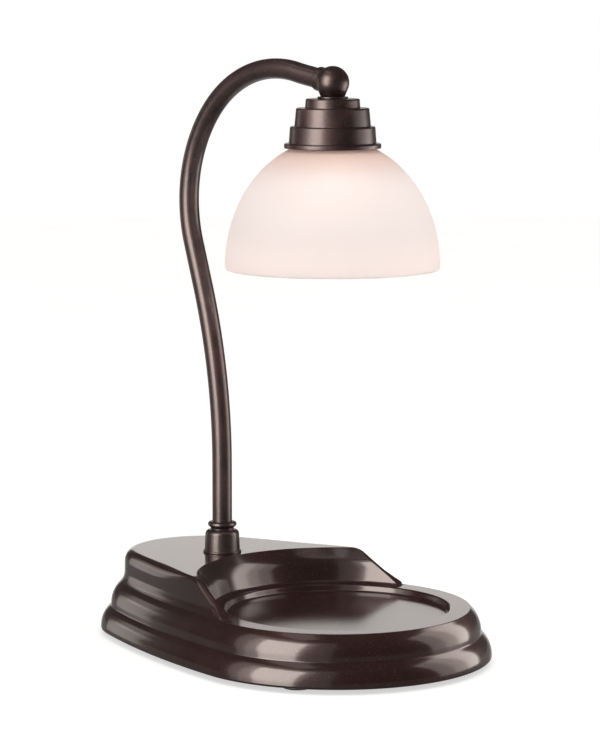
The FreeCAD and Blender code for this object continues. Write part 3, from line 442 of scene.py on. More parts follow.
bronzeLacquer = mouldedBronze(bronzeSettings)
bronzePaint = satinBronze(satinSettings)
tubePaint = satinBronze(tubeSettings)
frosted = frostedGlass(glassSettings)
# Polypropylene sheet, pressed flat: dull black with a fine leathery skin
sheetPlastic = finish("blackSheetPlastic", ("121212", "1e1d1c"), 0.8, (0.5, 0.65), 0.02)
# Moulded rubber: matt, a slightly warm black
mouldedRubber = finish("blackMouldedRubber", ("161514", "262422"), 0.6, (0.7, 0.85), 0.03)
# Mild steel, bright zinc plated: cool grey with faint spangles
zincSteel = finish("zincPlatedSteel", ("8d9095", "b9bcc0"), 1.5, (0.28, 0.4), 0.004, Metallic=1.0)
# Iron as cast in sand: dark, rough and grainy
castIron = finish("roughCastIron", ("2d2d2f", "45454a"), 0.9, (0.6, 0.8), 0.05, Metallic=0.7)
# Urea moulding: warm white, half matt
whiteMoulding = finish("whiteUreaMoulding", ("cfccc2", "e4e1d8"), 2.0, (0.35, 0.5))
# Steatite under a clear glaze: cream, glossy
creamCeramic = finish("glazedCreamCeramic", ("ddd5c4", "efe9db"), 3.0, (0.2, 0.3))
# Phenolic moulding: nearly black, half matt
blackMoulding = finish("blackHeatproofMoulding", ("18171a", "26252a"), 1.2, (0.35, 0.5), 0.006)
# Brass from the lathe: yellow and bright
turnedBrass = finish("turnedBrass", ("9c7b3a", "c9a863"), 0.8, (0.22, 0.36), Metallic=1.0)
# Glass silvered inside: a clear mirror
silveredGlass = finish("silveredGlass", ("c9c9cc", "e9e9ee"), 4.0, (0.05, 0.12), Metallic=1.0)
# Pressed glass, left clear
clearGlass = finish("clearPressedGlass", ("f2f5f8", "ffffff"), 3.0, (0.02, 0.06),
                    Transmission_Weight=1.0, IOR=1.47)
# Silicone sleeves of the two wires: soft sheen
brownSleeve = finish("brownWireSleeve", ("3a1d10", "54301d"), 1.0, (0.4, 0.5))
blueSleeve = finish("blueWireSleeve", ("152a58", "1f3c78"), 1.0, (0.4, 0.5))
print("materials made")


# Base: one moulded shell whose sections run from the recess's floor out over the deck, the scooped
# platform and the two tiers to the underside

baseSettings = {
    "frontRadius": 83.0, "rearRadius": 55.5, "sideRadius": 490.0, "spacing": 104.5,
    "deck": 28.8, "platform": 46.8, "floor": 25.4, "rim": 59.8, "rimDraft": 0.9, "rimEdge": (1.0, 4),
    "lipEdge": (1.0, 5), "floorRows": (1.0, 30.0), "deckRow": 63.0,
    # the scoop: radius, rise over the deck, fillet and its steps, and the radius at the platform's height
    "scoop": [(64.0, 0.0), (65.9, 0.5, 1.8, 5), (69.0, 11.2, 18.0, 8)], "scoopTop": 74.4,
    "searchFrom": 66.0, "searches": 8,  # where the search for the scoop's upper edge starts, and its rounds
    "deckInset": 11.65, "wallRun": 1.7, "wallFoot": 2.6, "wallHollow": 10.5, "hollowSteps": 8,
    "wallDraft": 0.35, "shoulder": 6.8, "shoulderFrom": 52.0, "shoulderSteps": 12, "hornRound": 2.2,
    "innerRound": 0.7, "scoopRound": 0.5, "innerSteps": 5, "tipSetback": 14.5, "slope": 33.0,
    "crestRound": 16.0,
    # how the horns' edges fade towards their tips
    "footFades": 2.7, "tipInset": 3.0, "tipFades": 1.5, "roundFades": 8, "roundGrows": 5,
    # rows across the platform: how many, and how far from its inner and outer edge the first and last one lie
    "across": 8, "near": 1.8, "nearShare": 0.25, "far": 0.3, "farRound": 1.15, "farShare": 0.6,
    # inset, height, fillet, steps from the deck's edge down to the underside
    "tiers": [(11.6, 28.8, 0.7, 4), (6.3, 23.1, 15.5, 12), (5.7, 15.3, 1.0, 5), (0.5, 10.2, 14.0, 12),
              (0.0, 2.3, 1.2, 5), (4.6, 2.3, 0.2, 2), (4.6, 4.95, 0, 0), (26.0, 4.95, 0, 0)],
    # sections round the plan: steps in mm, where along Y the fine ones are, and the longest last step
    "fineStep": 0.75, "coarseStep": 1.9, "fineFrom": -34, "fineTo": 14, "lastStep": 1.5,
    "hold": 0.1, "sharp": 30,
}
recessCentre = (0.0, -39.5)
postPlace = (0.0, 48.6)
shadePlace = (0.0, -35.65)


def frontCentre(s):
    return -(s["spacing"] + s["rearRadius"] - s["frontRadius"]) / 2


def eggArcs(s):
    # Five tangent arcs as (centre x, centre y, radius, start, end)
    broad, bowed, tight, spacing = s["frontRadius"], s["sideRadius"], s["rearRadius"], s["spacing"]
    front = frontCentre(s)
    rear = front + spacing
    along = (spacing ** 2 + (bowed - broad) ** 2 - (bowed - tight) ** 2) / (2 * spacing)
    across = math.sqrt((bowed - broad) ** 2 - along ** 2)
    side = front + along
    low, high = math.atan2(front - side, across), math.atan2(rear - side, across)
    return [(0, front, broad, -math.pi / 2, low), (-across, side, bowed, low, high),
            (0, rear, tight, high, math.pi - high), (across, side, bowed, math.pi - high, math.pi - low),
            (0, front, broad, math.pi - low, 1.5 * math.pi)]


def eggStations(s):
    # Places round the plan as (centre x, centre y, radius, angle), closer together at the horns
    stations = []
    for x, y, radius, start, end in eggArcs(s):
        angle = start
        while angle < end - 1e-9:
            stations.append((x, y, radius, angle))
            level = y + radius * math.sin(angle)
            step = s["fineStep"] if s["fineFrom"] < level < s["fineTo"] else s["coarseStep"]
            rest = (end - angle) * radius
            angle += min(step, rest if rest < s["lastStep"] * step else step) / radius
    return stations


def scoopCurve(s):
    corners = [(r, s["deck"] + rise, *edge) for r, rise, *edge in s["scoop"]]
    return profilePoints(corners + [(s["scoopTop"], s["platform"])], 0.0)


def basePath(s, station, scoop):
    x, y, radius, angle = station
    deck, top, crestRound = s["deck"], s["platform"], s["crestRound"]
    slopeTurn, tall = math.radians(s["slope"]), top - deck
    slope = math.tan(slopeTurn)
    tip = frontCentre(s) + s["tipSetback"]

    def out(inset, z):
        return Vector((x + (radius - inset) * math.cos(angle), y + (radius - inset) * math.sin(angle), z))

    foot = out(s["deckInset"] + s["wallRun"], deck)
    turn = math.atan2(foot.y - recessCentre[1], foot.x)

    def ring(r, z):
        return Vector((r * math.cos(turn), recessCentre[1] + r * math.sin(turn), z))

    def topAt(place):
        # The horns' slope, rounded into the flat platform
        start = tip + tall / slope + crestRound * math.tan(slopeTurn / 2)
        if place.y >= start:
            return top
        if place.y > start - crestRound * math.sin(slopeTurn):
            return top - crestRound + math.sqrt(crestRound ** 2 - (start - place.y) ** 2)
        return max(deck + slope * (place.y - tip), deck)

    innerZ = topAt(ring(s["searchFrom"], 0))
    spans = list(zip(scoop, scoop[1:]))
    for _ in range(s["searches"]):
        r = [b[0] for a, b in spans if a[1] <= innerZ][-1]
        for a, b in spans:
            if a[1] <= innerZ <= b[1] and b[1] > a[1]:
                r = a[0] + (b[0] - a[0]) * (innerZ - a[1]) / (b[1] - a[1])
        r = max(r, s["scoop"][1][0])
        innerZ = topAt(ring(r, 0))
    inner = ring(r, innerZ)
    outerZ = topAt(foot)
    lift = outerZ - deck
    grown = min(1.0, lift / (s["footFades"] * s["wallFoot"]))
    wallInset = s["deckInset"] + s["wallRun"] * grown + s["tipInset"] * max(0.0, 1 - lift / s["tipFades"])
    hollowZ = deck + s["wallFoot"] * grown
    outer = out(wallInset + s["wallDraft"] * lift / tall, outerZ)
    wall = [(min(a[0], r), min(a[1], innerZ)) for a in scoop[:-1]]
    rise, outerRise = (innerZ - deck) / tall, lift / tall
    crestY = tip + tall / slope
    full = min(1.0, max(0.0, (foot.y - crestY) / (s["shoulderFrom"] - crestY)))
    outerRound = s["hornRound"] + (s["shoulder"] - s["hornRound"]) * full * full * (3 - 2 * full)
    width = (outer - inner).length
    near = min(s["near"], s["nearShare"] * width)
    far = width - min(s["farRound"] * outerRound + s["far"], s["farShare"] * width)
    crest = []
    for k in range(s["across"]):
        reach = near + (far - near) * k / (s["across"] - 1)
        place = inner.lerp(outer, reach / max(width, pathSettings["tiny"]))
        place.z = topAt(place)
        crest.append((place, 0, 0))
    innerRound = s["innerRound"] + (s["scoopRound"] - s["innerRound"]) * rise ** s["roundFades"]
    corners = [(ring(row, s["floor"]), 0, 0) for row in s["floorRows"]]
    corners += [(ring(s["rim"] - s["rimDraft"], s["floor"]), *s["rimEdge"]),
                (ring(s["rim"], deck), *s["lipEdge"]), (ring(s["deckRow"], deck), 0, 0)]
    corners += [(ring(r, z), 0, 0) for r, z in wall]
    corners += [(inner, innerRound * min(1, rise * s["roundGrows"]), s["innerSteps"]), *crest,
                (outer, outerRound * min(1, outerRise * s["roundGrows"]), s["shoulderSteps"]),
                (out(wallInset, hollowZ), s["wallHollow"] * grown, s["hollowSteps"])]
    corners += [(out(inset, z), fillet, steps) for inset, z, fillet, steps in s["tiers"]]
    return [p * mm for p in roundedPath(corners, s["hold"])]


def makeBase(s):
    stations = eggStations(s)
    scoop = scoopCurve(s)
    columns = [basePath(s, station, scoop) for station in stations]
    bm = bmesh.new()
    rows = [list(row) for row in zip(*columns)]
    rings = gridMesh(bm, rows, len(stations))
    bm.faces.new(rings[0])
    bm.faces.new(rings[-1])
    piece = finishMesh("base_body", bm, bronzeLacquer, s["sharp"])
    print("base:", len(stations), "sections of", len(rows), "points")
    return piece


inletSettings = {
    "seat": 119.9, "height": 9.4, "hole": 5.2, "boss": 6.1, "bossRoot": 114.9, "around": 64,
    "bossEdge": ((0.0, 0.5), (0.15, 0.15), (0.5, 0.0)),  # inwards and back
    "faceRun": 8.0, "bore": 3.9, "boreRun": (-14.0, 4.0),
}


def cutInlet(base, s):
    # A short boss on the rear wall, bored and faced for the lead's bushing
    centre, root, face = (0, s["seat"], s["height"]), s["bossRoot"] - s["seat"], s["faceRun"]
    bore, (low, high) = s["bore"], s["boreRun"]
    edge = [(s["boss"] - inward, -back) for inward, back in s["bossEdge"]]
    tools = [("inlet_boss", "UNION", [(0, root), (s["boss"], root), *edge, (0, 0)]),
             ("inlet_face", "DIFFERENCE", [(0, 0), (s["hole"], 0), (s["hole"], face), (0, face)]),
             ("inlet_bore", "DIFFERENCE", [(0, low), (bore, low), (bore, high), (0, high)])]
    return combine(base, [
        (turnedSolid(name, outline, centre, bronzeLacquer, s["around"], "Y"), kind)
        for name, kind, outline in tools], "base_body")


baseBody = cutInlet(makeBase(baseSettings), inletSettings)
print("base cut, faces", len(baseBody.data.polygons))


# Outlines of turned pieces are (radius, height), with a fillet and its steps where an edge is round. Where
# a piece has a seat, heights count from it.

bushingSettings = {
    "outline": [(3.0, -8.8, 0.3, 3), (3.9, -8.8, 0.3, 3), (3.9, 0), (4.9, 0), (4.9, 1.2, 0.5, 5),
                (3.0, 1.2, 0.2, 3), (3.0, -4.0)],
    "seat": (0, inletSettings["seat"], inletSettings["height"]), "around": 72,
}
bushing = turnedPiece("cord_inlet", bushingSettings["outline"], bushingSettings["seat"], mouldedRubber,
                      bushingSettings["around"], "Y")

# Post, arm and ball

armSettings = {
    "radius": 5.4, "tail": 15.0, "upright": 48.4, "swayRadius": 329.1, "swayTurn": 17.18,
    "swayRun": 24.8, "shoulderRadius": 77.15, "shoulderTurn": 55.42, "crownRadius": 66.7, "crownTurn": 64.73,
    "reachRadius": 91.6, "reachTurn": 2.89, "reachRun": 21.6, "seat": 4.0,
    "step": 1.6, "fewest": 4, "uprightRows": 8, "around": 48, "sharp": 40,
}


def armRoute(s):
    # Runs and tangent arcs in the plane x = 0, as (y, z) points with a heading in degrees
    moves = [(0, s["tail"] + s["upright"]), (s["swayRadius"], -s["swayTurn"]), (0, s["swayRun"]),
             (s["shoulderRadius"], s["shoulderTurn"]), (s["crownRadius"], s["crownTurn"]),
             (s["reachRadius"], -s["reachTurn"]), (0, s["reachRun"])]
    y, z, heading = postPlace[1], baseSettings["platform"] - s["tail"], 90.0
    points = [(y, z)]
    for radius, amount in moves:
        if radius == 0:
            ahead, up = onCircle(heading, amount)
            y, z = y + ahead, z + up
            points.append((y, z))
            continue
        side = 90 if amount > 0 else -90
        ahead, up = onCircle(heading + side, radius)
        centreY, centreZ = y + ahead, z + up
        steps = max(s["fewest"], round(radius * math.radians(abs(amount)) / s["step"]))
        for k in range(1, steps + 1):
            ahead, up = onCircle(heading + amount * k / steps - side, radius)
            points.append((centreY + ahead, centreZ + up))
        y, z = points[-1]
        heading += amount
    return points, heading


def tubeTree():
    tree = nodeGroup("tubeAlongPath", [("Radius", "Float"), ("Points Around", "Int"), ("Finish", "Material")])
    given = addNode(tree, "NodeGroupInput").outputs
    ring = addNode(tree, "CurvePrimitiveCircle", {
        "Resolution": given["Points Around"], "Radius": given["Radius"]})
    tube = addNode(tree, "CurveToMesh", {
        "Curve": given["Geometry"], "Profile Curve": ring, "Fill Caps": True})
    smooth = addNode(tree, "SetShadeSmooth", {"Geometry": tube})
    real = addNode(tree, "RealizeInstances", {"Geometry": smooth})
    coat = addNode(tree, "SetMaterial", {"Geometry": real, "Material": given["Finish"]})
    addNode(tree, "NodeGroupOutput", {"Geometry": coat})
    return tree


def pathObject(name, points):
    data = bpy.data.curves.new(name, "CURVE")
    data.dimensions = "3D"
    spline = data.splines.new("POLY")
    spline.points.add(len(points) - 1)
    for point, place in zip(spline.points, points):
        point.co = (*[c * mm for c in place], 1)
    return addObject(name, data)


def makeArm(s):
    points, heading = armRoute(s)
    ballPlace = points[-1]
    ahead, up = onCircle(heading, s["seat"])
    points[-1] = (ballPlace[0] - ahead, ballPlace[1] - up)
    start, end = points[0], points[1]
    rows = s["uprightRows"]
    upright = [(start[0], start[1] + (end[1] - start[1]) * k / rows) for k in range(rows)]
    path = pathObject("arm_path", [(0, y, z) for y, z in upright + points[1:]])
    giveGroup(path, tubeTree(), {
        "Radius": s["radius"] * mm, "Points Around": s["around"], "Finish": tubePaint})
    arm = plainMesh(path, "arm")
    arm.data.set_sharp_from_angle(angle=math.radians(s["sharp"]))
    return arm, ballPlace, heading


arm, ballPlace, armHeading = makeArm(armSettings)
print("arm: ball at", [round(v, 2) for v in ballPlace], "heading", round(armHeading, 2))

ferruleSettings = {
    "outline": [(5.45, 0), (10.4, 0, 0.3, 4), (10.4, 1.2, 0.3, 4), (9.6, 1.2, 0.3, 4), (9.2, 12.6, 2.6, 10),
                (5.45, 12.6)],
    "seat": (*postPlace, baseSettings["platform"]),
}
beadSettings = {
    "outline": [(5.45, 0), (6.3, 0, 0.15, 2), (6.3, 0.9, 0.3, 4), (8.0, 2.52, 0.8, 6), (7.6, 3.96, 0.8, 6),
                (6.3, 4.5, 0.3, 4), (5.45, 4.5)],
    "seat": (*postPlace, baseSettings["platform"] + ferruleSettings["outline"][-1][1]),
}
ferrule, neckBead = [turnedPiece(name, s["outline"], s["seat"], tubePaint) for name, s in (
    ("ferrule", ferruleSettings), ("neck_bead", beadSettings))]

ballSettings = {
    "radius": 8.65, "foot": 6.5, "footEdge": (0.3, 0.25), "drop": 7.1, "cone": 22.0, "arcSteps": 32,
    "around": 96, "boss": 6.4, "reach": 10.2, "bossEdge": (0.6, 6), "bossAround": 80, "sharp": 35,
}


def makeBall(s, place, heading, seat):
    y, z = place
    low = math.radians(-s["cone"])
    turns = [low + (math.pi / 2 - low) * k / s["arcSteps"] for k in range(s["arcSteps"])]
    arc = [(s["radius"] * math.cos(a), s["radius"] * math.sin(a)) for a in turns]
    inward, up = s["footEdge"]
    profile = [(0, -s["drop"]), (s["foot"] - inward, -s["drop"]), (s["foot"], -s["drop"] + up), *arc,
               (0, s["radius"])]
    ball = turnedSolid("ball_part", profile, (0, y, z), bronzePaint, s["around"], closed=False)
    bm = bmesh.new()
    collar = profilePoints([(0, -s["reach"]), (s["boss"], -s["reach"], *s["bossEdge"]), (s["boss"], -seat),
                            (0, -seat)])
    turnedMesh(bm, collar, (0, 0, 0), s["bossAround"], closed=False)
    turn = Vector((0, *onCircle(heading))).to_track_quat("Z", "X").to_matrix().to_4x4()
    bmesh.ops.transform(bm, matrix=Matrix.Translation(Vector((0, y, z)) * mm) @ turn, verts=bm.verts)
    boss = finishMesh("ball_boss", bm, bronzePaint)
    piece = combine(ball, [(boss, "UNION")], "arm_end_ball")
    piece.data.set_sharp_from_angle(angle=math.radians(s["sharp"]))
    return piece


ball = makeBall(ballSettings, ballPlace, armHeading, armSettings["seat"])

# Shade holder with the thin ring on it, glass and ring

holderSettings = {
    "hole": 4.3, "wall": 1.2, "flange": 25.4, "flangeTop": 274.15, "low": 271.55, "around": 192,
    # the three tiers: radius at the top, radius at the foot, height of the top
    "tiers": [(14.1, 14.4, 297.35), (19.1, 20.0, 292.55), (22.3, 22.9, 282.95)],
    "rimEdge": (0.9, 6), "footEdge": (0.25, 3), "flangeEdge": (0.8, 6), "lowEdge": (0.4, 4),
    "mouthEdge": (0.3, 3), "innerEdge": (0.4, 3),
}
ballRingSettings = {
    "outline": [(4.3, 0), (8.0, 0, 0.3, 4), (8.0, 1.0, 0.3, 4), (6.5, 1.2, 0.1, 2), (4.3, 1.2)],
    "seat": (*shadePlace, holderSettings["tiers"][0][2]),
}


def makeHolder(s):
    wall, tiers = s["wall"], s["tiers"]
    feet = [tier[2] for tier in tiers[1:]] + [s["flangeTop"]]
    outer = [(s["hole"], tiers[0][2])]
    inner = [(s["hole"], tiers[0][2] - wall)]
    for (top, foot, height), low in zip(tiers, feet):
        outer += [(top, height, *s["rimEdge"]), (foot, low, *s["footEdge"])]
        inner += [(top - wall, height - wall, *s["innerEdge"]), (foot - wall, low - wall)]
    outer += [(s["flange"], s["flangeTop"], *s["flangeEdge"]), (s["flange"], s["low"], *s["lowEdge"])]
    inner[-1] = (tiers[-1][1] - wall, s["low"], *s["mouthEdge"])
    return turnedPiece("shade_holder_cap", outer + inner[::-1], (*shadePlace, 0), bronzePaint, s["around"])


ballRing = turnedPiece("ball_ring", ballRingSettings["outline"], ballRingSettings["seat"], bronzePaint)
holderCap = makeHolder(holderSettings)

shadeSettings = {
    "halfWidth": 56.4, "height": 67.0, "rim": 209.7, "wall": 3.0, "neck": 4.6, "hole": 20.2, "steps": 40,
    "edgeSteps": 10, "around": 224, "sharp": 40,
}


def makeShade(s, top):
    def wallArc(inward, high):
        wide, tall = s["halfWidth"] - inward, s["height"] - inward
        last = math.asin((high - s["rim"]) / tall)
        turns = [last * k / s["steps"] for k in range(s["steps"] + 1)]
        return [(wide * math.cos(a), s["rim"] + tall * math.sin(a)) for a in turns]

    under = top - s["neck"]
    half = s["wall"] / 2
    turns = [math.pi * k / s["edgeSteps"] for k in range(1, s["edgeSteps"])]
    edge = [(s["halfWidth"] - half - half * math.cos(a), s["rim"] - half * math.sin(a)) for a in turns]
    profile = [*wallArc(0, top)[::-1], *edge[::-1], *wallArc(s["wall"], under), (s["hole"], under),
               (s["hole"], top)]
    return turnedSolid("glass_dome", profile, (*shadePlace, 0), frosted, s["around"], sharp=s["sharp"])


glassDome = makeShade(shadeSettings, holderSettings["low"])

ringSettings = {
    "hole": 19.68, "outer": 23.4, "low": 261.75, "top": 266.95, "grips": 24, "gripRadius": 0.9,
    "gripOut": 0.3, "perGrip": 12, "edge": (0.8, 4), "mouthEdge": (0.3, 3), "sharp": 30,
}


def makeRing(s):
    count = s["grips"] * s["perGrip"]
    profile = profilePoints([
        (s["hole"], s["top"]), (s["outer"], s["top"], *s["edge"]), (s["outer"], s["low"], *s["edge"]),
        (s["hole"], s["low"], *s["mouthEdge"]), (s["hole"], s["top"])])
    rows = []
    for r, z in profile:
        row = []
        for i in range(count):
            angle = 2 * math.pi * i / count
            near = 2 * math.pi * round(angle * s["grips"] / (2 * math.pi)) / s["grips"]
            across = (s["outer"] + s["gripOut"]) * math.sin(abs(angle - near))
            notch = r
            if across < s["gripRadius"]:
                notch = min(r, s["outer"] + s["gripOut"] - math.sqrt(s["gripRadius"] ** 2 - across ** 2))
            x, y = shadePlace[0] + notch * math.cos(angle), shadePlace[1] + notch * math.sin(angle)
            row.append(Vector((x * mm, y * mm, z * mm)))
        rows.append(row)
    bm = bmesh.new()
    gridMesh(bm, rows, count)
    return finishMesh("glass_ring", bm, blackMoulding, s["sharp"])


glassRing = makeRing(ringSettings)

# Bulb: ceramic cap, silvered bowl, clear lens and the capsule inside

bulbSettings = {
    "cap": [(0, 261.25), (12.5, 261.25, 1.2, 6), (14.6, 244.25, 0.5, 4), (11.6, 244.25), (11.6, 248.25),
            (0, 248.25)],
    "bowl": [(11.55, 247.75), (11.55, 243.25), (14.6, 238.6, 12, 6), (19.8, 230.15, 20, 8),
             (24.3, 220.6, 10, 5), (25.0, 218.05, 1, 3), (25.0, 215.05, 0.3, 3)],
    "bowlWall": 1.3,
    "lens": [(0, 215.45), (23.65, 215.45, 0.3, 3), (23.65, 217.65, 0.3, 3), (0, 217.65)],
    "capsule": [(0, 232.25), (5.2, 232.25, 3.0, 8), (5.2, 245.25, 1.0, 4), (3.7, 248.25), (0, 248.25)],
    "pin": [(0, 248.25), (1.5, 248.25), (1.5, 263.95), (2.4, 263.95, 0.3, 3), (2.4, 268.55, 0.6, 5),
            (0, 268.55)],
    "pinApart": 5.0, "capAround": 96, "bowlAround": 128, "capsuleAround": 64, "pinAround": 40,
}


def makeBulb(s):
    axis = (*shadePlace, 0)
    cap = turnedPiece("bulb_cap", s["cap"], axis, creamCeramic, s["capAround"])
    inside = [(r - s["bowlWall"], z, *edge) for r, z, *edge in s["bowl"][::-1]]
    bowl = turnedPiece("bulb_bowl", s["bowl"] + inside, axis, silveredGlass, s["bowlAround"])
    lens = turnedPiece("bulb_lens_disc", s["lens"], axis, clearGlass, s["capAround"])
    capsule = turnedPiece("bulb_capsule", s["capsule"], axis, clearGlass, s["capsuleAround"])
    pins = join([turnedPiece(
        "bulb_pins_part", s["pin"], (side * s["pinApart"], shadePlace[1], 0), zincSteel, s["pinAround"])
        for side in (-1, 1)])
    pins.name = "bulb_pin_pair"
    return cap, bowl, lens, capsule, pins


bulbCap, bulbBowl, bulbLens, bulbCapsule, bulbPins = makeBulb(bulbSettings)

# Feet and the screws in them, set out by one tree

footSettings = {
    "frontTurn": 27.6, "rearTurn": 43.0, "inset": 14.7,
    "pad": [(4.2, 0, 0.3, 3), (8.0, 0, 1.0, 6), (8.5, 3.0, 0.1, 2), (2.2, 3.0), (2.2, 2.0), (4.2, 2.0),
            (4.2, 1.0)],
    "around": 80,
}


def footPlaces(s, base):
    front = frontCentre(base)
    places = []
    for centre, radius, turn in ((front, base["frontRadius"], -s["frontTurn"]),
                                 (front + base["spacing"], base["rearRadius"], s["rearTurn"])):
        aside, along = onCircle(turn, radius - s["inset"])
        places += [(side * aside, centre + along, 0) for side in (-1, 1)]
    return places


def setOutTree():
    tree = nodeGroup("setOutOnPoints", [("Piece", "Object"), ("Finish", "Material")])
    given = addNode(tree, "NodeGroupInput").outputs
    piece = addNode(tree, "ObjectInfo", {"Object": given["Piece"]})
    spread = addNode(tree, "InstanceOnPoints", {
        "Points": given["Geometry"], "Instance": piece.outputs["Geometry"]})
    real = addNode(tree, "RealizeInstances", {"Geometry": spread})
    coat = addNode(tree, "SetMaterial", {"Geometry": real, "Material": given["Finish"]})
    addNode(tree, "NodeGroupOutput", {"Geometry": coat})
    return tree


def setOut(name, tree, one, places, material):
    mesh = bpy.data.meshes.new(name)
    mesh.from_pydata([[c * mm for c in place] for place in places], [], [])
    holder = addObject(name, mesh)
    giveGroup(holder, tree, {"Piece": one, "Finish": material})
    made = plainMesh(holder, name)
    bpy.data.objects.remove(one)
    return made


placeTree = setOutTree()
places = footPlaces(footSettings, baseSettings)
oneFoot = turnedPiece("one_foot", footSettings["pad"], (0, 0, 0), mouldedRubber, footSettings["around"])
feet = setOut("foot_pads", placeTree, oneFoot, places, mouldedRubber)

screwSettings = {
    "outline": [(0, 0.5), (3.6, 0.5, 0.5, 5), (3.6, 2.0), (1.9, 2.0), (1.9, 15.5), (0.8, 17.0), (0, 17.0)],
    "slotLong": 3.6, "slotWide": 0.8, "slotTall": 2.0, "slotHeight": 0.4, "around": 48,
}


def makeScrew(s):
    screw = turnedPiece("one_screw", s["outline"], (0, 0, 0), zincSteel, s["around"])
    bm = bmesh.new()
    for long, wide in ((s["slotLong"], s["slotWide"]), (s["slotWide"], s["slotLong"])):
        place = Matrix.Translation((0, 0, s["slotHeight"] * mm))
        size = Matrix.Diagonal((long * mm, wide * mm, s["slotTall"] * mm, 1))
        bmesh.ops.create_cube(bm, size=1, matrix=place @ size)
    slot = finishMesh("screw_slot", bm, zincSteel)
    return combine(screw, [(slot, "DIFFERENCE")], "one_screw", crossing=True)


screws = setOut("foot_screws", placeTree, makeScrew(screwSettings), places, zincSteel)
print("pieces made")

# What stands for what, what it rides on and the finish of the nodes that stay

dressed = [
    (baseBody, "lamp", "base_shell", "base_bronze"), (bushing, "lamp", "cord_bushing", "rubber_black"),
    (arm, "lamp", "arm_tube", "arm_bronze"), (ferrule, "lamp", "post_ferrule", "arm_bronze"),
    (neckBead, "lamp", "neck_ring", "arm_bronze"), (ball, "lamp", "arm_ball", "arm_bronze"),
    (ballRing, "lamp", "ball_washer", "arm_bronze"), (holderCap, "lamp", "shade_holder", "arm_bronze"),
    (glassDome, "lamp", "glass_shade", "frosted_glass"), (glassRing, "ring", "shade_ring", "socket_black"),
    (bulbCap, "bulb", "bulb_base", "block_white"), (bulbBowl, "bulb", "bulb_reflector", "bulb_mirror"),
    (bulbLens, "bulb", "bulb_lens", "bulb_glass"), (bulbCapsule, "bulb", "bulb_burner", "bulb_glass"),
    (bulbPins, "bulb", "bulb_pins", "zinc_steel"), (feet, "lamp", "rubber_feet", "rubber_black"),
    (screws, "lamp", "cover_screws", "zinc_steel"),
]
for piece, body, node, slot in dressed:
    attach(piece, body)
    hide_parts(node)

keptFinishes = {
    "base_cover": sheetPlastic, "ballast_plate": castIron, "terminal_block": whiteMoulding,
    "terminal_screws": turnedBrass, "block_screw": zincSteel, "arm_washer": zincSteel, "arm_nut": zincSteel,
    "nipple": zincSteel, "nipple_nut": zincSteel, "socket_bracket": zincSteel, "bracket_screws": zincSteel,
    "socket_body": creamCeramic, "socket_contacts": turnedBrass, "lead_wire_live": brownSleeve,
    "lead_wire_neutral": blueSleeve,
}
for name, material in keptFinishes.items():
    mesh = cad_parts[name].data
    mesh.materials.clear()
    mesh.materials.append(material)
print("pieces dressed", len(dressed), "kept nodes", len(keptFinishes))


# Floor, world and lamps. Directions are in degrees round the lamp, from +X towards +Y.

stageSettings = {
    "paper": [(0.2, "d8d6d3"), (0.8, "dedcda")], "paperGlow": 0.60, "cloudSize": 100.0, "far": 3000,
    "drop": 0.3, "ambient": 0.55,
    # The white sweep that the gloss shows behind the lamp: where it lies, how wide and how high it stands
    "sweep": {"turn": 45.0, "half": 15.0, "soft": 2.5, "narrows": 0.11, "level": 1.2, "dark": 0.065,
              "top": 15.5, "topSoft": 4.0, "low": -6.0, "lowShare": 0.4, "tint": "fffaf6"},
    "floorShare": 0.17,
    "softboxes": [
        # name, direction and height, width and height in degrees, brightness where white is 1, distance, and
        # for some the lean and the place it is seen from
        ("leftCore", 179.3, 18.0, 33.5, 54.0, 7.3, 1900),
        ("leftMiddle", 157.0, 18.0, 13.0, 54.0, 1.3, 2000),
        ("leftEdge", 170.0, 21.5, 60.0, 63.0, 0.95, 2150),
        ("leftFill", 208.5, 21.5, 27.0, 60.0, 0.4, 2150),
        ("rightCore", -17.5, 20.5, 20.0, 58.0, 1.5, 300, 0, (28, -105)),
        ("rightMiddle", -26.0, 21.0, 37.0, 59.0, 0.9, 315, 0, (28, -105)),
        ("rightEdge", -35.0, 21.5, 55.0, 60.0, 1.35, 330, 0, (28, -105)),
        ("cardStrip", 96.6, 2.0, 11.4, 20.0, 1.15, 2100),
        ("cardTop", 95.0, 15.0, 8.0, 12.0, 0.75, 2100, 30),
        ("topStrip", 150.0, 68.0, 40.0, 14.0, 1.0, 1900),
    ],
    "softboxTint": "fff2ea", "softboxAim": 25.0, "softboxPower": 4.0,
    "keyLamp": ("keyLamp", (-500, -700, 1900), (0, 0, 60), 1400, 1400, 9.0),
    "glows": [  # inside the shade: name, power, colour, how far ahead of its axis, height, radius
        ("bulbGlow", 0.13, "fff7f3", 0.0, 214.0, 12.0),
        ("neckGlow", 0.0065, "fff0e0", 19.0, 247.0, 8.0),
    ],
}


def addLight(name, kind, place, power, colour):
    data = bpy.data.lights.new(name, kind)
    data.energy = power
    data.color = hexColour(colour)[:3]
    light = addObject(name, data)
    light.location = Vector(place) * mm
    return light


def addLamp(name, place, aim, width, height, power, colour="ffffff"):
    lamp = addLight(name, "AREA", place, power, colour)
    lamp.data.shape = "RECTANGLE"
    lamp.data.size, lamp.data.size_y = width * mm, height * mm
    lamp.rotation_euler = (Vector(aim) - Vector(place)).to_track_quat("-Z", "Y").to_euler()
    return lamp


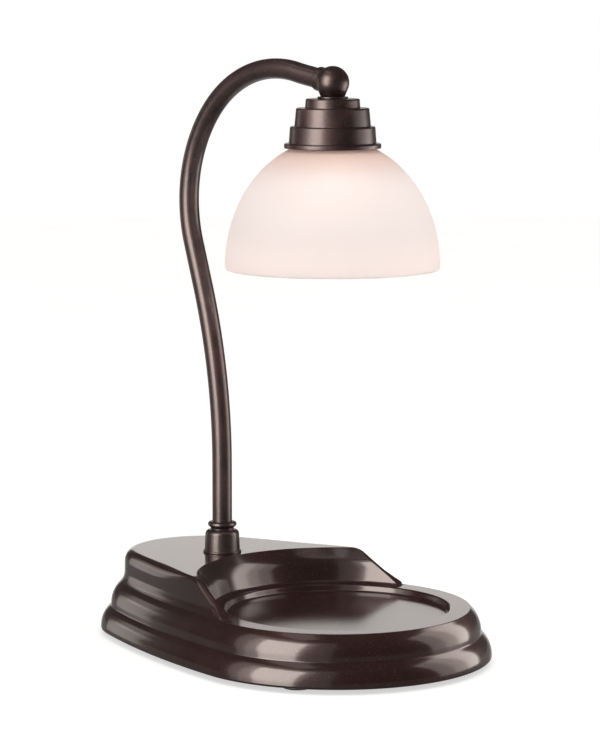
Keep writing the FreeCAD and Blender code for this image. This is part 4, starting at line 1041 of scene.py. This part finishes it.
def addSoftbox(s, name, turn, rise, wide, tall, bright, away, lean=0, spot=(0, 0)):
    # A large flat light that only the gloss sees, so that it draws highlights and whitens nothing
    centre = Vector((*spot, s["softboxAim"]))
    level, up = onCircle(rise)
    place = Vector((*onCircle(turn, level), up)) * away
    width, height = [2 * away * math.tan(math.radians(size / 2)) for size in (wide, tall)]
    power = s["softboxPower"] * bright * width * mm * height * mm
    lamp = addLamp(name, place + centre, centre, width, height, power, s["softboxTint"])
    lamp.rotation_euler.rotate_axis("Z", math.radians(lean))
    lamp.visible_camera = False
    lamp.visible_diffuse = False
    lamp.visible_transmission = False


def paperFloor(s):
    material, tree = newMaterial("whitePaperSweep")
    rays = addNode(tree, "LightPath")
    seen = addNode(tree, "Math", {
        0: rays.outputs["Is Camera Ray"], 1: rays.outputs["Is Transmission Ray"]}, operation="MAXIMUM")
    seen = addNode(tree, "Math", {0: seen, 1: rays.outputs["Is Glossy Ray"]}, operation="MAXIMUM")
    cloud = addNode(tree, "TexNoise", {
        "Vector": objectSpot(tree), "Scale": 1 / s["cloudSize"], "Detail": 2.0})
    tone = setRamp(addNode(tree, "ValToRGB", {"Fac": cloud}), s["paper"])
    matte = addNode(tree, "BsdfDiffuse", {"Color": tone})
    glow = addNode(tree, "Emission", {"Color": (1, 1, 1, 1), "Strength": s["paperGlow"]})
    both = addNode(tree, "AddShader", {0: matte, 1: glow})
    mix = addNode(tree, "MixShader", {0: seen, 1: matte, 2: both})
    # In the gloss the paper is fainter and what stands round it goes on below the horizon
    clear = addNode(tree, "BsdfTransparent")
    share = addNode(tree, "Math", {0: rays.outputs["Is Glossy Ray"], 1: 1 - s["floorShare"]},
                    operation="MULTIPLY")
    veil = addNode(tree, "MixShader", {0: share, 1: mix, 2: clear})
    addNode(tree, "OutputMaterial", {"Surface": veil})
    bm = bmesh.new()
    bmesh.ops.create_circle(bm, cap_ends=True, segments=96, radius=s["far"] * mm)
    bmesh.ops.translate(bm, verts=bm.verts, vec=(0, 0, -s["drop"] * mm))
    mesh = bpy.data.meshes.new("floor")
    bm.to_mesh(mesh)
    bm.free()
    mesh.materials.append(material)
    floor = addObject("floor", mesh)


def studioWorld(s):
    # White where it is looked at straight; in the gloss a white sweep behind the lamp, a dark room round it
    world = bpy.data.worlds.new("studio")
    bpy.context.scene.world = world
    world.use_nodes = True
    tree = world.node_tree
    tree.nodes.clear()
    sweep = s["sweep"]
    way = addNode(tree, "TexCoord")
    axes = addNode(tree, "SeparateXYZ", {"Vector": way.outputs["Generated"]})
    flat = addNode(tree, "CombineXYZ", {"X": axes.outputs["X"], "Y": axes.outputs["Y"]})
    flat = addNode(tree, "VectorMath", {0: flat}, operation="NORMALIZE")
    along = addNode(tree, "VectorMath", {0: flat, 1: (*onCircle(sweep["turn"]), 0)}, operation="DOT_PRODUCT")
    edges = [math.cos(math.radians(sweep["half"] + side * sweep["soft"])) for side in (1, -1)]
    taper = addNode(tree, "Math", {
        0: axes.outputs["Z"], 1: -sweep["narrows"], 2: along.outputs["Value"]}, operation="MULTIPLY_ADD")
    across = addNode(tree, "MapRange", {
        "Value": taper, "From Min": edges[0], "From Max": edges[1]},
        interpolation_type="SMOOTHSTEP")
    heights = [math.sin(math.radians(sweep["top"] + side * sweep["topSoft"] / 2)) for side in (-1, 1)]
    under = addNode(tree, "MapRange", {
        "Value": axes.outputs["Z"], "From Min": heights[0], "From Max": heights[1], "To Min": 1.0,
        "To Max": 0.0}, interpolation_type="SMOOTHSTEP")
    over = addNode(tree, "MapRange", {
        "Value": axes.outputs["Z"], "From Min": math.sin(math.radians(sweep["low"])), "From Max": 0.0,
        "To Min": sweep["lowShare"]})
    lit = addNode(tree, "Math", {0: across, 1: under}, operation="MULTIPLY")
    lit = addNode(tree, "Math", {0: lit, 1: over}, operation="MULTIPLY")
    shine = addNode(tree, "MapRange", {"Value": lit, "To Min": sweep["dark"], "To Max": sweep["level"]})
    rays = addNode(tree, "LightPath")
    glossy = addNode(tree, "Mix", {
        "Factor": rays.outputs["Is Glossy Ray"], "A": s["ambient"], "B": shine}, data_type="FLOAT")
    straight = addNode(tree, "Math", {
        0: rays.outputs["Is Camera Ray"], 1: rays.outputs["Is Transmission Ray"]}, operation="MAXIMUM")
    level = addNode(tree, "Mix", {"Factor": straight, "A": glossy, "B": 1.0}, data_type="FLOAT")
    tint = addNode(tree, "Mix", {
        "Factor": rays.outputs["Is Glossy Ray"], 6: hexColour("ffffff"), 7: hexColour(sweep["tint"])},
        data_type="RGBA")
    sky = addNode(tree, "Background", {"Color": tint.outputs[2], "Strength": level})
    addNode(tree, "OutputWorld", {"Surface": sky})


def makeStage(s):
    for softbox in s["softboxes"]:
        addSoftbox(s, *softbox)
    addLamp(*s["keyLamp"]).visible_glossy = False
    for name, power, colour, ahead, height, radius in s["glows"]:
        glow = addLight(name, "POINT", (shadePlace[0] - ahead, shadePlace[1] - ahead, height), power, colour)
        glow.data.shadow_soft_size = radius * mm
        glow.visible_glossy = False
    paperFloor(s)
    studioWorld(s)


makeStage(stageSettings)
print("stage and lamps set")
